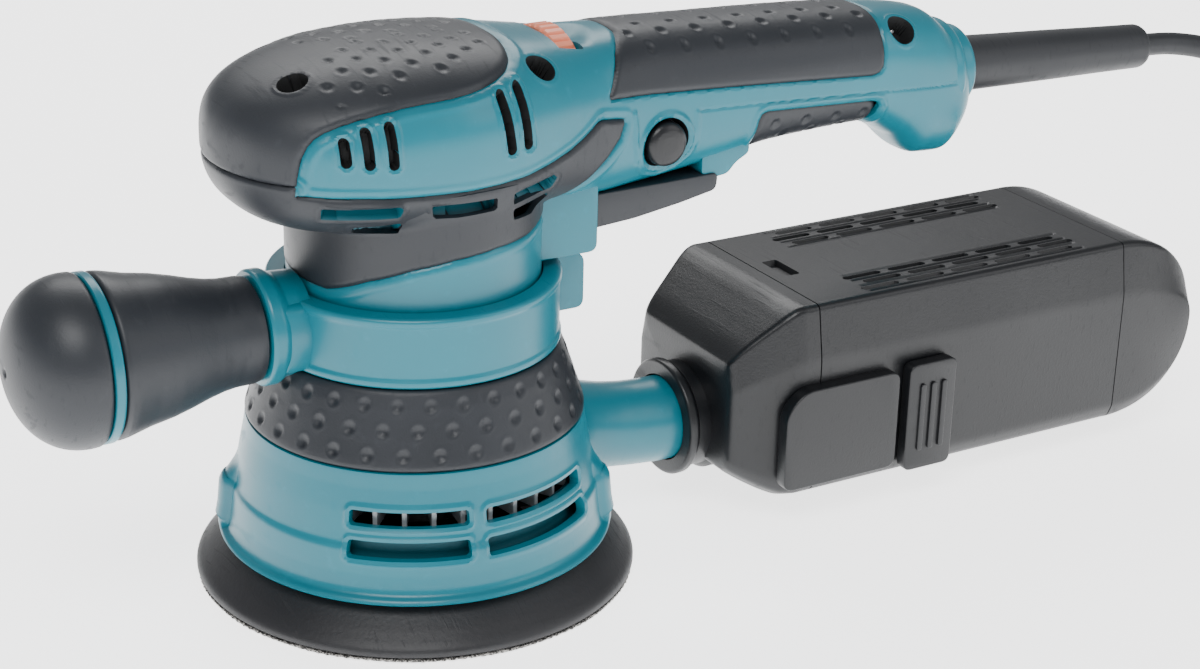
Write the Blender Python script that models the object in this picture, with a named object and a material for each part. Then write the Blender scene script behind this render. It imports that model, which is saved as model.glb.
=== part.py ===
"""Corded random-orbit sander with a front grip and a rear dust box.

Lengths are in millimetres until finish() turns each node into metres. +X runs to the rear, along the
handle, +Z is up, and the origin is where the motor's axis meets the face that the sander rests on.
"""

import math

import bmesh
import bpy
from mathutils import Matrix, Vector

MM = 0.001
GAP = 0.3  # between pieces that rest on each other
ROUND = 36  # sides of a large round piece
FINE = 16  # sides of a small round piece
MERGE = 0.002  # points closer than this become one after a Boolean

# Orbit and pad
ECCENTRIC = 1.4
PAD_AXIS = (0.5 * ECCENTRIC, 0.866 * ECCENTRIC)
PAD_R = 61.5
DUST_HOLES = 8
DUST_HOLE_R = 4.5
DUST_HOLE_PCR = 32.5

# Skirt, cone band, collar and neck, all round the motor's axis
COLLAR_Z = (69.0, 88.6)
COLLAR_R = 40.0
NECK_R = 34.4
NECK_Z = (69.2, 119.0)
WALL = 2.6

SKIRT_SCREWS = ((17.5, 17.5), (-17.5, 17.5), (-17.5, -17.5), (17.5, -17.5))
FAN_BLADES = 14

# Front grip, on an axis along X
GRIP_Z = 79.0
GRIP_START_X = -47.5
GRIP_TIP_X = -113.5
BOLT_X = 43.6

# Handle pieces
DIAL_X = (36.3, 42.7)
DIAL_CENTRE_Z = 131.2
DIAL_R = 19.6
LOCK_XZ = (66.8, 118.9)
LOCK_R = 6.4
TRIGGER_X = (97.8, 141.0)
TRIGGER_Z = (111.2, 122.4)
TRIGGER_W = 16.5
TRIGGER_PIVOT = (138.5, 0.0, 118.0)
CORD_Z = 122.4

# Dust box
NOZZLE_Z = 27.0
BOX_X = (114.0, 228.0)
BOX_W = 33.0
BOX_Z = (6.5, 67.0)
BOX_WALL = 2.2
LATCH_X = 160.0
LATCH_Y = BOX_W + 1.5
COVER_SIDE = (
    (97.0, 44.8),
    (89.0, 45.5),
    (88.0, 50.0),
    (90.0, 54.0),
    (106.0, 65.6),
    (109.0, BOX_Z[1]),
    (113.7, BOX_Z[1]),
    (113.7, BOX_Z[0]),
    (105.0, BOX_Z[0] + 0.8),
    (98.6, 12.0),
    (97.0, 17.0),
)

# Sections of the head and handle: x, half width, top z, bottom z
BODY_STATIONS = (
    (-57.0, 1.0, 132.0, 130.0),
    (-55.5, 10.0, 138.0, 121.0),
    (-52.0, 18.5, 142.5, 115.5),
    (-45.0, 27.0, 146.8, 111.0),
    (-34.0, 33.5, 150.2, 108.0),
    (-20.0, 37.0, 152.6, 106.5),
    (-4.0, 37.5, 153.4, 106.0),
    (12.0, 35.5, 152.8, 106.0),
    (26.0, 31.0, 151.3, 106.0),
    (38.0, 26.5, 149.8, 105.0),
    (50.0, 22.5, 149.0, 103.5),
    (64.0, 20.2, 148.8, 104.5),
    (85.0, 19.3, 148.0, 107.0),
    (110.0, 19.0, 147.0, 110.5),
    (140.0, 18.5, 145.3, 111.5),
    (152.0, 18.0, 144.2, 106.0),
    (162.0, 17.0, 142.5, 98.5),
    (170.0, 15.5, 137.0, 98.0),
    (176.0, 13.0, 130.5, 104.0),
    (179.8, 8.0, 124.0, 111.0),
    (180.8, 2.0, 119.0, 116.0),
)
BODY_POWER = 2.6  # squareness of a body section

RUBBER = 1.9  # thickness of a rubber area
HEAD_SCREWS = ((25.0, 145.0, 21.0), (148.6, 139.0, 12.5))  # x, z and how far each reaches in y
SIDE_SLOTS = ((-34.5, 134.5, 2.7, 7.5), (-29.1, 135.0, 2.7, 10.0), (-23.2, 135.5, 2.7, 11.5))
LONG_SLOTS = ((9.7, 136.6, 2.9, 15.0), (15.2, 137.2, 2.9, 15.6))  # x, z, width and height
LOUVRES = ((-39.5, -20.5, 116.6, 120.0), (-29.5, -19.0, 109.4, 113.0))  # x0, x1, z0, z1
LOUVRES += ((-12.0, 7.0, 114.2, 118.0), (12.0, 26.0, 114.4, 118.4), (12.5, 26.0, 109.8, 112.6))

# Side outlines, x and z, of the rubber areas of the head and handle
CAP_OUTLINE = (
    (-70.0, 125.9),
    (-45.2, 125.9),
    (-44.9, 129.0),
    (-44.1, 132.8),
    (-42.1, 136.7),
    (-39.2, 139.1),
    (-35.1, 140.8),
    (-24.6, 143.4),
    (-12.3, 144.5),
    (0.4, 145.2),
    (8.0, 146.3),
    (13.8, 148.0),
    (18.0, 150.3),
    (20.5, 152.0),
    (21.0, 160.0),
    (-70.0, 160.0),
)
BAND_OUTLINE = (
    (-70.0, 125.3),
    (-46.0, 125.3),
    (-45.0, 123.1),
    (-29.4, 122.2),
    (-14.3, 121.1),
    (-1.8, 120.5),
    (7.1, 120.6),
    (16.7, 121.2),
    (24.7, 122.6),
    (32.2, 124.4),
    (40.1, 128.0),
    (43.2, 129.6),
    (52.0, 128.4),
    (50.7, 123.6),
    (46.3, 118.7),
    (40.3, 113.6),
    (33.0, 107.5),
    (24.0, 105.8),
    (8.0, 103.4),
    (-5.1, 102.2),
    (-15.2, 100.3),
    (-25.0, 96.6),
    (-32.0, 91.4),
    (-70.0, 91.4),
)
GRIP_OUTLINE = (
    (57.6, 160.0),
    (57.3, 149.2),
    (55.2, 148.0),
    (52.2, 145.1),
    (49.9, 140.8),
    (47.4, 136.6),
    (46.5, 134.6),
    (69.9, 133.0),
    (99.1, 131.3),
    (130.0, 129.4),
    (137.9, 129.5),
    (140.3, 131.3),
    (140.8, 138.0),
    (141.6, 144.0),
    (142.2, 160.0),
)

# Free cord: route points from the guard's end to the coil, x, y, z
CORD_R = 3.6
CORD_ROUTE = (
    (254.0, 0.0, 119.1),
    (268.0, -0.8, 118.3),
    (282.0, -6.0, 115.5),
    (294.0, -16.0, 109.0),
    (303.0, -28.5, 98.5),
    (309.0, -40.8, 84.0),
    (312.5, -51.5, 67.0),
    (315.5, -60.8, 49.0),
    (319.5, -68.5, 32.0),
    (326.0, -74.3, 17.5),
    (335.0, -77.2, 7.8),
    (342.6, -78.0, 4.4),
    (348.1, -78.0, 3.9),
)
CORD_STEP = 8.0  # about two diameters between the points of the cord's line
COIL_CENTRE = (394.0, -78.0)
COIL_R = (29.0, 45.0)
COIL_TOP_Z = 24.0
PLUG_R = 11.5

COLOURS = {
    "teal_plastic": ((0.010, 0.250, 0.300), 0.38, 0.0),
    "black_plastic": ((0.016, 0.017, 0.019), 0.42, 0.0),
    "soft_rubber": ((0.045, 0.050, 0.058), 0.62, 0.0),
    "cord_rubber": ((0.020, 0.021, 0.023), 0.55, 0.0),
    "dial_plastic": ((0.850, 0.330, 0.230), 0.45, 0.0),
    "foam": ((0.030, 0.031, 0.034), 0.75, 0.0),
    "abrasive": ((0.180, 0.170, 0.165), 0.90, 0.0),
    "steel": ((0.560, 0.570, 0.580), 0.32, 1.0),
    "copper": ((0.700, 0.330, 0.180), 0.35, 1.0),
    "cast_alloy": ((0.620, 0.630, 0.640), 0.40, 1.0),
    "carbon": ((0.050, 0.050, 0.052), 0.60, 0.0),
    "filter_paper": ((0.700, 0.650, 0.560), 0.90, 0.0),
}


# ---- Helpers ----


def clear_scene():
    for obj in list(bpy.data.objects):
        bpy.data.objects.remove(obj, do_unlink=True)


def material(name):
    found = bpy.data.materials.get(name)
    if found:
        return found
    colour, roughness, metallic = COLOURS[name]
    made = bpy.data.materials.new(name)
    made.use_nodes = True
    shader = made.node_tree.nodes["Principled BSDF"]
    shader.inputs["Base Color"].default_value = (*colour, 1.0)
    shader.inputs["Roughness"].default_value = roughness
    shader.inputs["Metallic"].default_value = metallic
    made.diffuse_color = (*colour, 1.0)
    return made


def mesh_object(name, points, faces):
    """An object of triangles that face out."""
    mesh = bpy.data.meshes.new(name)
    mesh.from_pydata([Vector(p) for p in points], [], faces)
    work = bmesh.new()
    work.from_mesh(mesh)
    bmesh.ops.remove_doubles(work, verts=work.verts, dist=1e-4)
    bmesh.ops.triangulate(work, faces=work.faces)
    bmesh.ops.recalc_face_normals(work, faces=work.faces)
    work.to_mesh(mesh)
    work.free()
    obj = bpy.data.objects.new(name, mesh)
    bpy.context.scene.collection.objects.link(obj)
    return obj


def combine(target, tool, how):
    """Applies a Boolean of tool to target and removes tool."""
    step = target.modifiers.new(how.lower(), "BOOLEAN")
    step.operation = how
    step.solver = "EXACT"
    step.object = tool
    graph = bpy.context.evaluated_depsgraph_get()
    result = bpy.data.meshes.new_from_object(target.evaluated_get(graph))
    target.modifiers.remove(step)
    work = bmesh.new()
    work.from_mesh(result)
    bmesh.ops.remove_doubles(work, verts=work.verts, dist=MERGE)
    bmesh.ops.dissolve_degenerate(work, edges=work.edges, dist=MERGE)
    bmesh.ops.triangulate(work, faces=work.faces)
    work.to_mesh(result)
    work.free()
    target.data = result
    bpy.data.objects.remove(tool, do_unlink=True)
    return target


def cut(target, *tools):
    for tool in tools:
        combine(target, tool, "DIFFERENCE")
    return target


def join(target, *tools):
    for tool in tools:
        combine(target, tool, "UNION")
    return target


def keep(target, tool):
    return combine(target, tool, "INTERSECT")


def copy_of(obj, name):
    twin = bpy.data.objects.new(name, obj.data.copy())
    bpy.context.scene.collection.objects.link(twin)
    return twin


def block(name, low, high):
    xs, ys, zs = zip(low, high)
    points = [(x, y, z) for z in zs for y in ys for x in xs]
    faces = [(0, 2, 3, 1), (4, 5, 7, 6), (0, 1, 5, 4), (2, 6, 7, 3), (0, 4, 6, 2), (1, 3, 7, 5)]
    return mesh_object(name, points, faces)


def loft(name, rings):
    """A closed skin through rings of the same number of points, with flat ends."""
    count = len(rings[0])
    points = [p for ring in rings for p in ring]
    faces = [tuple(range(count)), tuple(reversed(range(len(points) - count, len(points))))]
    for row in range(len(rings) - 1):
        base = row * count
        for i in range(count):
            j = (i + 1) % count
            faces.append((base + i, base + count + i, base + count + j, base + j))
    return mesh_object(name, points, faces)


def turned(name, profile, axis="Z", centre=(0.0, 0.0, 0.0), sides=ROUND):
    """Turns a closed outline of (radius, height) about an axis through centre."""
    rings = []
    for r, h in profile:
        ring = []
        for k in range(sides):
            a = 2 * math.pi * k / sides
            u, v = r * math.cos(a), r * math.sin(a)
            x, y, z = {"Z": (u, v, h), "X": (h, u, v), "Y": (u, h, v)}[axis]
            ring.append((x + centre[0], y + centre[1], z + centre[2]))
        rings.append(ring)
    count = len(rings)
    points = [p for ring in rings for p in ring]
    faces = []
    for row in range(count):
        nxt = (row + 1) % count
        if profile[row][0] < 1e-9 and profile[nxt][0] < 1e-9:
            continue
        for i in range(sides):
            j = (i + 1) % sides
            faces.append((row * sides + i, row * sides + j, nxt * sides + j, nxt * sides + i))
    return mesh_object(name, points, faces)


def rod(name, r, low, high, axis="Z", centre=(0.0, 0.0, 0.0), sides=FINE):
    return turned(name, [(0, low), (r, low), (r, high), (0, high)], axis, centre, sides)


def tube(name, inner, outer, low, high, axis="Z", centre=(0.0, 0.0, 0.0), sides=ROUND):
    outline = [(inner, low), (outer, low), (outer, high), (inner, high)]
    return turned(name, outline, axis, centre, sides)


def prism(name, outline, low, high, axis="Y"):
    """Pushes a closed outline along an axis: (x, z) along Y, (x, y) along Z, (y, z) along X."""
    rings = []
    for d in (low, high):
        rings.append([{"Y": (u, d, v), "Z": (u, v, d), "X": (d, u, v)}[axis] for u, v in outline])
    return loft(name, rings)


def round_box(name, low, high, corner, axis="X", steps=4):
    """A block with its four edges along one axis rounded."""
    others = [i for i in range(3) if i != "XYZ".index(axis)]
    (a0, b0), (a1, b1) = [(end[others[0]], end[others[1]]) for end in (low, high)]
    outline = rounded_outline(a0, b0, a1, b1, corner, steps)
    along = "XYZ".index(axis)
    return prism(name, outline, low[along], high[along], axis)


def rounded_outline(a0, b0, a1, b1, corner, steps=4):
    corners = ((a1, b1, 0), (a0, b1, 90), (a0, b0, 180), (a1, b0, 270))
    outline = []
    for a, b, turn in corners:
        ca = a + (corner if a == a0 else -corner)
        cb = b + (corner if b == b0 else -corner)
        for k in range(steps + 1):
            t = math.radians(turn + 90 * k / steps)
            outline.append((ca + corner * math.cos(t), cb + corner * math.sin(t)))
    return outline


def finish(obj, colour, origin=(0.0, 0.0, 0.0), sharp=35):
    """Turns a node into metres about its origin, and gives it a material and smooth shading."""
    obj.data.materials.clear()
    obj.data.materials.append(material(colour))
    obj.data.transform(Matrix.Scale(MM, 4) @ Matrix.Translation(-Vector(origin)))
    obj.location = Vector(origin) * MM
    obj.data.shade_smooth()
    obj.data.set_sharp_from_angle(angle=math.radians(sharp))
    return obj


def smooth_at(stations, x):
    """Cubic interpolation of a table of (x, value, ...) rows, without overshoot."""
    rows = sorted(stations)
    x = min(max(x, rows[0][0]), rows[-1][0])
    i = max(k for k in range(len(rows) - 1) if rows[k][0] <= x)
    x0, x1 = rows[i][0], rows[i + 1][0]
    t = (x - x0) / (x1 - x0)
    result = []
    for c in range(1, len(rows[0])):
        slopes = []
        for k in (i, i + 1):
            before = rows[max(k - 1, 0)]
            after = rows[min(k + 1, len(rows) - 1)]
            left = (rows[k][c] - before[c]) / max(rows[k][0] - before[0], 1e-9)
            right = (after[c] - rows[k][c]) / max(after[0] - rows[k][0], 1e-9)
            if k in (0, len(rows) - 1) or left * right <= 0:
                slopes.append(0.0 if k not in (0, len(rows) - 1) else left + right)
            else:
                slopes.append(2 * left * right / (left + right))
        m0, m1 = slopes[0] * (x1 - x0), slopes[1] * (x1 - x0)
        v0, v1 = rows[i][c], rows[i + 1][c]
        a, b = 2 * (v0 - v1) + m0 + m1, 3 * (v1 - v0) - 2 * m0 - m1
        result.append(((a * t + b) * t + m0) * t + v0)
    return result


def body_section(x, inset, sides=24):
    """One ring of the head and handle's skin, inset by a wall."""
    half, top, bottom = smooth_at(BODY_STATIONS, x)
    half, top, bottom = half - inset, top - inset, bottom + inset
    middle, rise = (top + bottom) / 2, (top - bottom) / 2
    ring = []
    for k in range(sides):
        a = 2 * math.pi * (k + 0.5) / sides
        c, s = math.cos(a), math.sin(a)
        y = math.copysign(abs(c) ** (2 / BODY_POWER), c) * half
        z = math.copysign(abs(s) ** (2 / BODY_POWER), s) * rise
        ring.append((x, y, middle + z))
    return ring


def body_skin(name, inset=0.0):
    xs = [row[0] for row in BODY_STATIONS]
    if inset > 0:
        low, high = xs[0] + 2.2 * inset, xs[-1] - 2.2 * inset
        xs = [low] + [x for x in xs if low + 1 < x < high - 1] + [high]
    return loft(name, [body_section(x, inset) for x in xs])


def housing_solid(name, inset=0.0):
    """Head, handle and neck as one solid, inset by a wall."""
    skin = body_skin(name, inset)
    neck = rod("neck", NECK_R - inset, NECK_Z[0] - inset, NECK_Z[1] - inset, sides=ROUND)
    return join(skin, neck)


# ---- Head and handle ----

def grown(outline, by):
    """An outline moved out by a distance, for a pocket that clears its piece."""
    count = len(outline)
    area = sum(
        outline[i][0] * outline[(i + 1) % count][1] - outline[(i + 1) % count][0] * outline[i][1]
        for i in range(count)
    )
    side = 1.0 if area > 0 else -1.0
    moved = []
    for i in range(count):
        before = Vector(outline[i - 1])
        here = Vector(outline[i])
        after = Vector(outline[(i + 1) % count])
        d0, d1 = (here - before).normalized(), (after - here).normalized()
        n0, n1 = Vector((d0.y, -d0.x)), Vector((d1.y, -d1.x))
        middle = (n0 + n1).normalized()
        moved.append(tuple(here + middle * (side * by / max(middle.dot(n0), 0.5))))
    return moved


def rubber_skin(name, outline, thickness):
    """A rubber area: the outer skin inside a side outline, hollowed to its thickness."""
    piece = housing_solid(name)
    keep(piece, prism("area", outline, -60, 60))
    return cut(piece, housing_solid("core", thickness - GAP))


def rubber_pocket(outline, thickness):
    pocket = prism("pocket", grown(outline, GAP), -61, 61)
    return cut(pocket, housing_solid("core", thickness))




def side_slot(x, z, width, height):
    half = height / 2
    return block("slot", (x - width / 2, -60, z - half), (x + width / 2, 60, z + half))


def build_housing():
    shell = housing_solid("shell")
    block_low = prism("rear_block", rounded_outline(26.0, 90.5, 46.5, 112.0, 3.0), -18.5, 18.5)
    join(shell, block_low)
    for outline in (CAP_OUTLINE, BAND_OUTLINE, GRIP_OUTLINE):
        cut(shell, rubber_pocket(outline, RUBBER))
    cavity = housing_solid("cavity", RUBBER + WALL)
    cut(shell, cavity)
    cut(shell, block("trigger_gap", (96.8, -30, 90), (142.0, 30, 123.0)))
    cut(shell, block("trigger_room", (96.8, -16.7, 119), (142.0, 16.7, 128.5)))
    cut(shell, block("dial_slot", (DIAL_X[0] - 0.6, -20.3, 135), (DIAL_X[1] + 0.6, 20.3, 165)))
    cut(shell, rod("lock_hole", 7.7, -40, 0, "Y", (LOCK_XZ[0], 0, LOCK_XZ[1])))
    cut(shell, rod("cord_hole", 7.4, 150, 200, "X", (0, 0, CORD_Z)))
    for x, z, width, height in SIDE_SLOTS + LONG_SLOTS:
        cut(shell, side_slot(x, z, width, height))
    for x, z, _ in HEAD_SCREWS:
        cut(shell, rod("screw_hole", 4.2, -60, 60, "Y", (x, 0, z), 16))
    left = copy_of(shell, "housing_left")
    keep(left, block("half", (-90, -60, 50), (220, -0.15, 170)))
    keep(shell, block("half", (-90, 0.15, 50), (220, 60, 170)))
    shell.name = "housing_right"
    for half in (left, shell):
        finish(half, "teal_plastic")


def build_rubbers():
    cap = rubber_skin("head_cap", CAP_OUTLINE, RUBBER)
    finish(cap, "soft_rubber")
    band = rubber_skin("head_band", BAND_OUTLINE, RUBBER)
    for x0, x1, z0, z1 in LOUVRES:
        cut(band, block("louvre", (x0, -60, z0), (x1, 60, z1)))
    finish(band, "soft_rubber")
    grip = rubber_skin("grip_cover", GRIP_OUTLINE, RUBBER)
    finish(grip, "soft_rubber")


def build_wedge():
    outline = ((49.0, 97.5), (86.0, 100.3), (86.8, 106.0), (70.0, 104.6), (49.0, 103.0))
    wedge = prism("grip_wedge", outline, -15.5, 15.5)
    cut(wedge, housing_solid("body", -GAP))
    finish(wedge, "soft_rubber")


# ---- Controls and electrics ----


def build_dial():
    centre = (0, 0, DIAL_CENTRE_Z)
    dial = tube("speed_dial", 3.3, DIAL_R, DIAL_X[0], DIAL_X[1], "X", centre)
    finish(dial, "dial_plastic", (DIAL_X[0], 0, DIAL_CENTRE_Z))
    axle = rod("dial_axle", 3.0, DIAL_X[0] - 1.5, DIAL_X[1] + 1.0, "X", centre)
    finish(axle, "steel")
    control = round_box("speed_controller", (44.0, -10, 114), (57.0, 10, 138), 2.0, "X")
    finish(control, "black_plastic")


def build_trigger():
    low, high = TRIGGER_X[0] + 0.4, TRIGGER_X[1]
    outline = ((low, TRIGGER_Z[0] + 1.5), (low + 2.5, TRIGGER_Z[0]), (high, TRIGGER_Z[0] + 1.0))
    outline += ((high, TRIGGER_Z[1] - 1.2), (high - 1.0, TRIGGER_Z[1]), (low, TRIGGER_Z[1]))
    lever = prism("trigger", outline, -TRIGGER_W + 0.3, TRIGGER_W - 0.3)
    cut(lever, block("hollow", (low + 3, -12, TRIGGER_Z[0] + 4), (high - 6, 12, TRIGGER_Z[1] + 3)))
    finish(lever, "soft_rubber", TRIGGER_PIVOT)
    switch = round_box("power_switch", (100.0, -9.5, 128.8), (128.0, 9.5, 138.0), 2.0, "X")
    finish(switch, "black_plastic")


def build_lock_button():
    x, z = LOCK_XZ
    outline = [(0, -21.0), (4.6, -20.8), (LOCK_R, -20.0), (LOCK_R, -12.5), (0, -12.5)]
    button = turned("lock_button", outline, "Y", (x, 0, z), FINE)
    finish(button, "black_plastic", (x, -21.0, z))


def build_motor():
    field = tube("motor_stator", 17.4, 27.6, 80.5, 114.0, sides=32)
    for side in (-1, 1):
        cut(field, block("flat", (-40, side * 31 - 8, 80), (40, side * 31 + 8, 130)))
    finish(field, "cast_alloy")
    finish(tube("motor_armature", 4.2, 16.6, 82.0, 113.0), "copper")
    finish(tube("motor_commutator", 4.2, 9.0, 120.0, 131.0, sides=FINE), "copper")
    finish(rod("motor_shaft", 3.9, 30.0, 144.0, sides=16), "steel")
    for name, side in (("brush_left", -1), ("brush_right", 1)):
        ends = sorted((side * 9.4, side * 19.0))
        finish(block(name, (-3, ends[0], 123.0), (3, ends[1], 128.5)), "carbon")
    finish(tube("upper_bearing", 4.2, 10.7, 137.0, 143.0, sides=24), "steel")
    finish(tube("lower_bearing", 4.2, 10.7, 61.5, 68.5, sides=24), "steel")


def build_fan():
    fan = tube("cooling_fan", 4.2, 9.5, 30.6, 42.6, sides=24)
    join(fan, tube("disc", 6.0, 42.0, 41.0, 42.6))
    for k in range(FAN_BLADES):
        blade = block("blade", (7.5, -0.7, 31.2), (41.0, 0.7, 41.6))
        turn = Matrix.Rotation(2 * math.pi * k / FAN_BLADES, 4, "Z")
        blade.data.transform(turn)
        join(fan, blade)
    finish(fan, "cast_alloy")


def build_counterweight():
    hub = rod("counterweight", 12.0, 24.0, 29.7, sides=24)
    heavy = tube("heavy_side", 10.0, 27.0, 24.8, 29.7)
    cut(heavy, block("light_side", (-40, -40, 20), (40, -3, 40)))
    heavy.data.transform(Matrix.Rotation(math.radians(150), 4, "Z"))
    join(hub, heavy, rod("pin", 5.0, 17.4, 25.0, centre=(*PAD_AXIS, 0)))
    finish(hub, "steel")


# ---- Pad ----


def dust_holes(solid, low, high):
    for k in range(DUST_HOLES):
        a = 2 * math.pi * (k + 0.5) / DUST_HOLES
        x = PAD_AXIS[0] + DUST_HOLE_PCR * math.cos(a)
        y = PAD_AXIS[1] + DUST_HOLE_PCR * math.sin(a)
        cut(solid, rod("hole", DUST_HOLE_R, low, high, centre=(x, y, 0), sides=12))
    return solid


def build_pad():
    centre = (*PAD_AXIS, 0)
    hooks = rod("hook_face", PAD_R, 0.0, 1.2, centre=centre, sides=44)
    finish(dust_holes(hooks, -1, 3), "abrasive", centre)
    outline = [(0, 1.5), (PAD_R, 1.5), (PAD_R, 3.0), (60.6, 4.6), (57.0, 7.8)]
    outline += [(53.2, 10.8), (51.0, 12.0), (0, 12.0)]
    cushion = turned("pad_cushion", outline, centre=centre, sides=44)
    finish(dust_holes(cushion, 0, 14), "foam", centre)
    plate = rod("pad_plate", 49.0, 12.3, 15.0, centre=centre)
    join(plate, rod("hub", 17.2, 14.0, 23.2, centre=centre, sides=32))
    cut(plate, rod("bore", 13.3, 17.0, 26.0, centre=centre, sides=32))
    finish(dust_holes(plate, 10, 17), "black_plastic", centre)
    bearing = tube("pad_bearing", 5.3, 13.0, 17.3, 23.2, centre=centre, sides=32)
    finish(bearing, "steel", centre)


# ---- Skirt, cone band and dust nozzle ----

NOZZLE_RINGS = (
    (38.0, 15.0, 12.5, 31.5),
    (52.0, 14.6, 12.6, 30.5),
    (62.0, 13.4, 12.6, 28.6),
    (72.0, 12.6, 12.6, 27.3),
    (80.0, 12.6, 12.6, NOZZLE_Z),
    (95.0, 12.6, 12.6, NOZZLE_Z),
)


def nozzle_loft(name, inset, reach):
    rings = []
    for row, (x, wide, high, z) in enumerate(NOZZLE_RINGS):
        if row in (0, len(NOZZLE_RINGS) - 1):
            x += reach if row else -reach
        ring = []
        for k in range(FINE):
            a = 2 * math.pi * k / FINE
            ring.append((x, (wide - inset) * math.cos(a), z + (high - inset) * math.sin(a)))
        rings.append(ring)
    return loft(name, rings)


SKIRT_OUTLINE = (
    (54.8, 13.7),
    (52.4, 16.0),
    (51.3, 21.0),
    (50.5, 28.6),
    (48.5, 37.6),
    (46.6, 48.2),
    (44.0, 48.2),
    (37.2, 68.7),
    (11.0, 68.7),
    (11.0, 61.2),
    (14.0, 61.2),
    (15.0, 66.0),
    (34.6, 66.0),
    (41.4, 47.0),
    (45.8, 37.6),
    (47.8, 28.6),
    (48.8, 21.0),
    (51.9, 13.7),
)
# Slots in the skirt: the azimuth of each end in degrees, and the height of each edge
SKIRT_SLOTS = (
    (-137.0, -99.5, 33.6, 37.8),
    (-137.0, -99.5, 25.4, 30.0),
    (-94.0, -52.0, 33.2, 37.4),
    (-94.0, -52.0, 24.8, 29.4),
    (43.0, 80.0, 33.6, 37.8),
    (43.0, 80.0, 25.4, 30.0),
)


def arc_block(name, low, high, inner, outer, start, end, steps=6):
    """A piece of a ring, between two azimuths in degrees."""
    rings = []
    for k in range(steps + 1):
        a = math.radians(start + (end - start) * k / steps)
        c, s = math.cos(a), math.sin(a)
        corners = ((inner, low), (outer, low), (outer, high), (inner, high))
        rings.append([(r * c, r * s, z) for r, z in corners])
    return loft(name, rings)


def build_skirt():
    skirt = turned("skirt", SKIRT_OUTLINE, sides=40)
    join(skirt, nozzle_loft("nozzle", 0.0, 0.0))
    for x, y in ((-48.0, 17.0), (44.0, -26.0), (44.0, 26.0)):
        boss = rod("boss", 4.6, 15.2, 34.0, centre=(x, y, 0), sides=16)
        join(skirt, cut(boss, rod("inside", 46.5, 10, 60, sides=40)))
    cut(skirt, nozzle_loft("duct", 1.9, 4.0))
    inside = [(0, 13.0), (51.9, 13.7), (48.8, 21.0), (47.8, 28.6), (45.8, 37.6), (41.4, 47.0)]
    cut(skirt, turned("inside", inside + [(0, 47.0)], sides=40))
    for start, end, low, high in SKIRT_SLOTS:
        cut(skirt, arc_block("slot", low, high, 40, 60, start, end))
    for x, y in SKIRT_SCREWS:
        cut(skirt, rod("hole", 2.3, 60, 80, centre=(x, y, 0), sides=10))
    finish(skirt, "teal_plastic")
    outline = [(44.3, 48.5), (46.5, 48.5), (45.5, 52.8), (43.5, 59.0), (41.5, 65.0)]
    outline += [(39.6, 68.7), (37.5, 68.7)]
    finish(turned("skirt_cone", outline, sides=40), "soft_rubber")
    for number, (x, y) in enumerate(SKIRT_SCREWS, 1):
        outline = [(0, 62.6), (3.6, 62.6), (3.6, 65.7), (2.0, 65.7), (2.0, 78.0), (0, 78.0)]
        screw = turned(f"skirt_screw_{number}", outline, centre=(x, y, 0), sides=12)
        finish(screw, "steel")


# ---- Clamp collar and front grip ----


def build_collar():
    collar = tube("grip_collar", NECK_R + GAP, COLLAR_R, *COLLAR_Z, sides=40)
    pad = round_box("seat", (-43.2, -14, COLLAR_Z[0]), (-33.0, 14, COLLAR_Z[1]), 3.0, "X")
    cut(pad, rod("inside", NECK_R + 2, 60, 100, sides=40))
    ears = round_box("ears", (36.0, -9.0, 71.0), (48.0, 9.0, 86.5), 2.5, "Y")
    cut(ears, rod("inside", NECK_R + 2, 60, 100, sides=40))
    flange = rod("flange", 15.6, GRIP_START_X, -42.6, "X", (0, 0, GRIP_Z), 32)
    join(collar, pad, ears, flange)
    cut(collar, block("split", (30, -1.3, 60), (60, 1.3, 100)))
    cut(collar, rod("bolt_hole", 2.5, -20, 20, "Y", (BOLT_X, 0, GRIP_Z), 12))
    cut(collar, rod("stud_hole", 4.3, -60, -30, "X", (0, 0, GRIP_Z), 16))
    finish(collar, "teal_plastic")
    outline = [(0, -12.6), (3.6, -12.6), (3.6, -9.3), (2.2, -9.3), (2.2, 12.0), (0, 12.0)]
    bolt = turned("collar_bolt", outline, "Y", (BOLT_X, 0, GRIP_Z), 12)
    finish(bolt, "steel")


def build_grip():
    centre = (0, 0, GRIP_Z)
    start = (GRIP_START_X, 0, GRIP_Z)
    outline = [(4.3, -89.2), (21.9, -89.2), (21.2, -85.0), (20.1, -79.7), (18.7, -72.0)]
    outline += [(15.6, -62.0), (14.4, -55.0), (14.4, -47.8), (4.3, -47.8)]
    finish(turned("grip_handle", outline, "X", centre), "soft_rubber", start)
    ring = tube("grip_ring", 4.3, 22.3, -92.5, -89.5, "X", centre)
    finish(ring, "teal_plastic", start)
    outline = [(0, GRIP_TIP_X), (5.5, -113.0), (10.8, -111.4), (15.6, -108.4), (19.2, -104.3)]
    outline += [(21.6, -99.5), (22.6, -95.5), (22.4, -92.8), (0, -92.8)]
    finish(turned("grip_dome", outline, "X", centre), "soft_rubber", start)
    stud = rod("grip_stud", 4.0, -92.0, -36.0, "X", centre, 16)
    finish(stud, "steel", start)


# ---- Screws of the housing ----


def build_screws():
    for number, (x, z, reach) in enumerate(HEAD_SCREWS, 1):
        outline = [(0, -reach), (3.9, -reach), (3.9, 2.6 - reach), (1.9, 2.6 - reach)]
        outline += [(1.9, reach), (0, reach)]
        screw = turned(f"housing_screw_{number}", outline, "Y", (x, 0, z), 12)
        finish(screw, "steel")


# ---- Dust box ----


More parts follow.
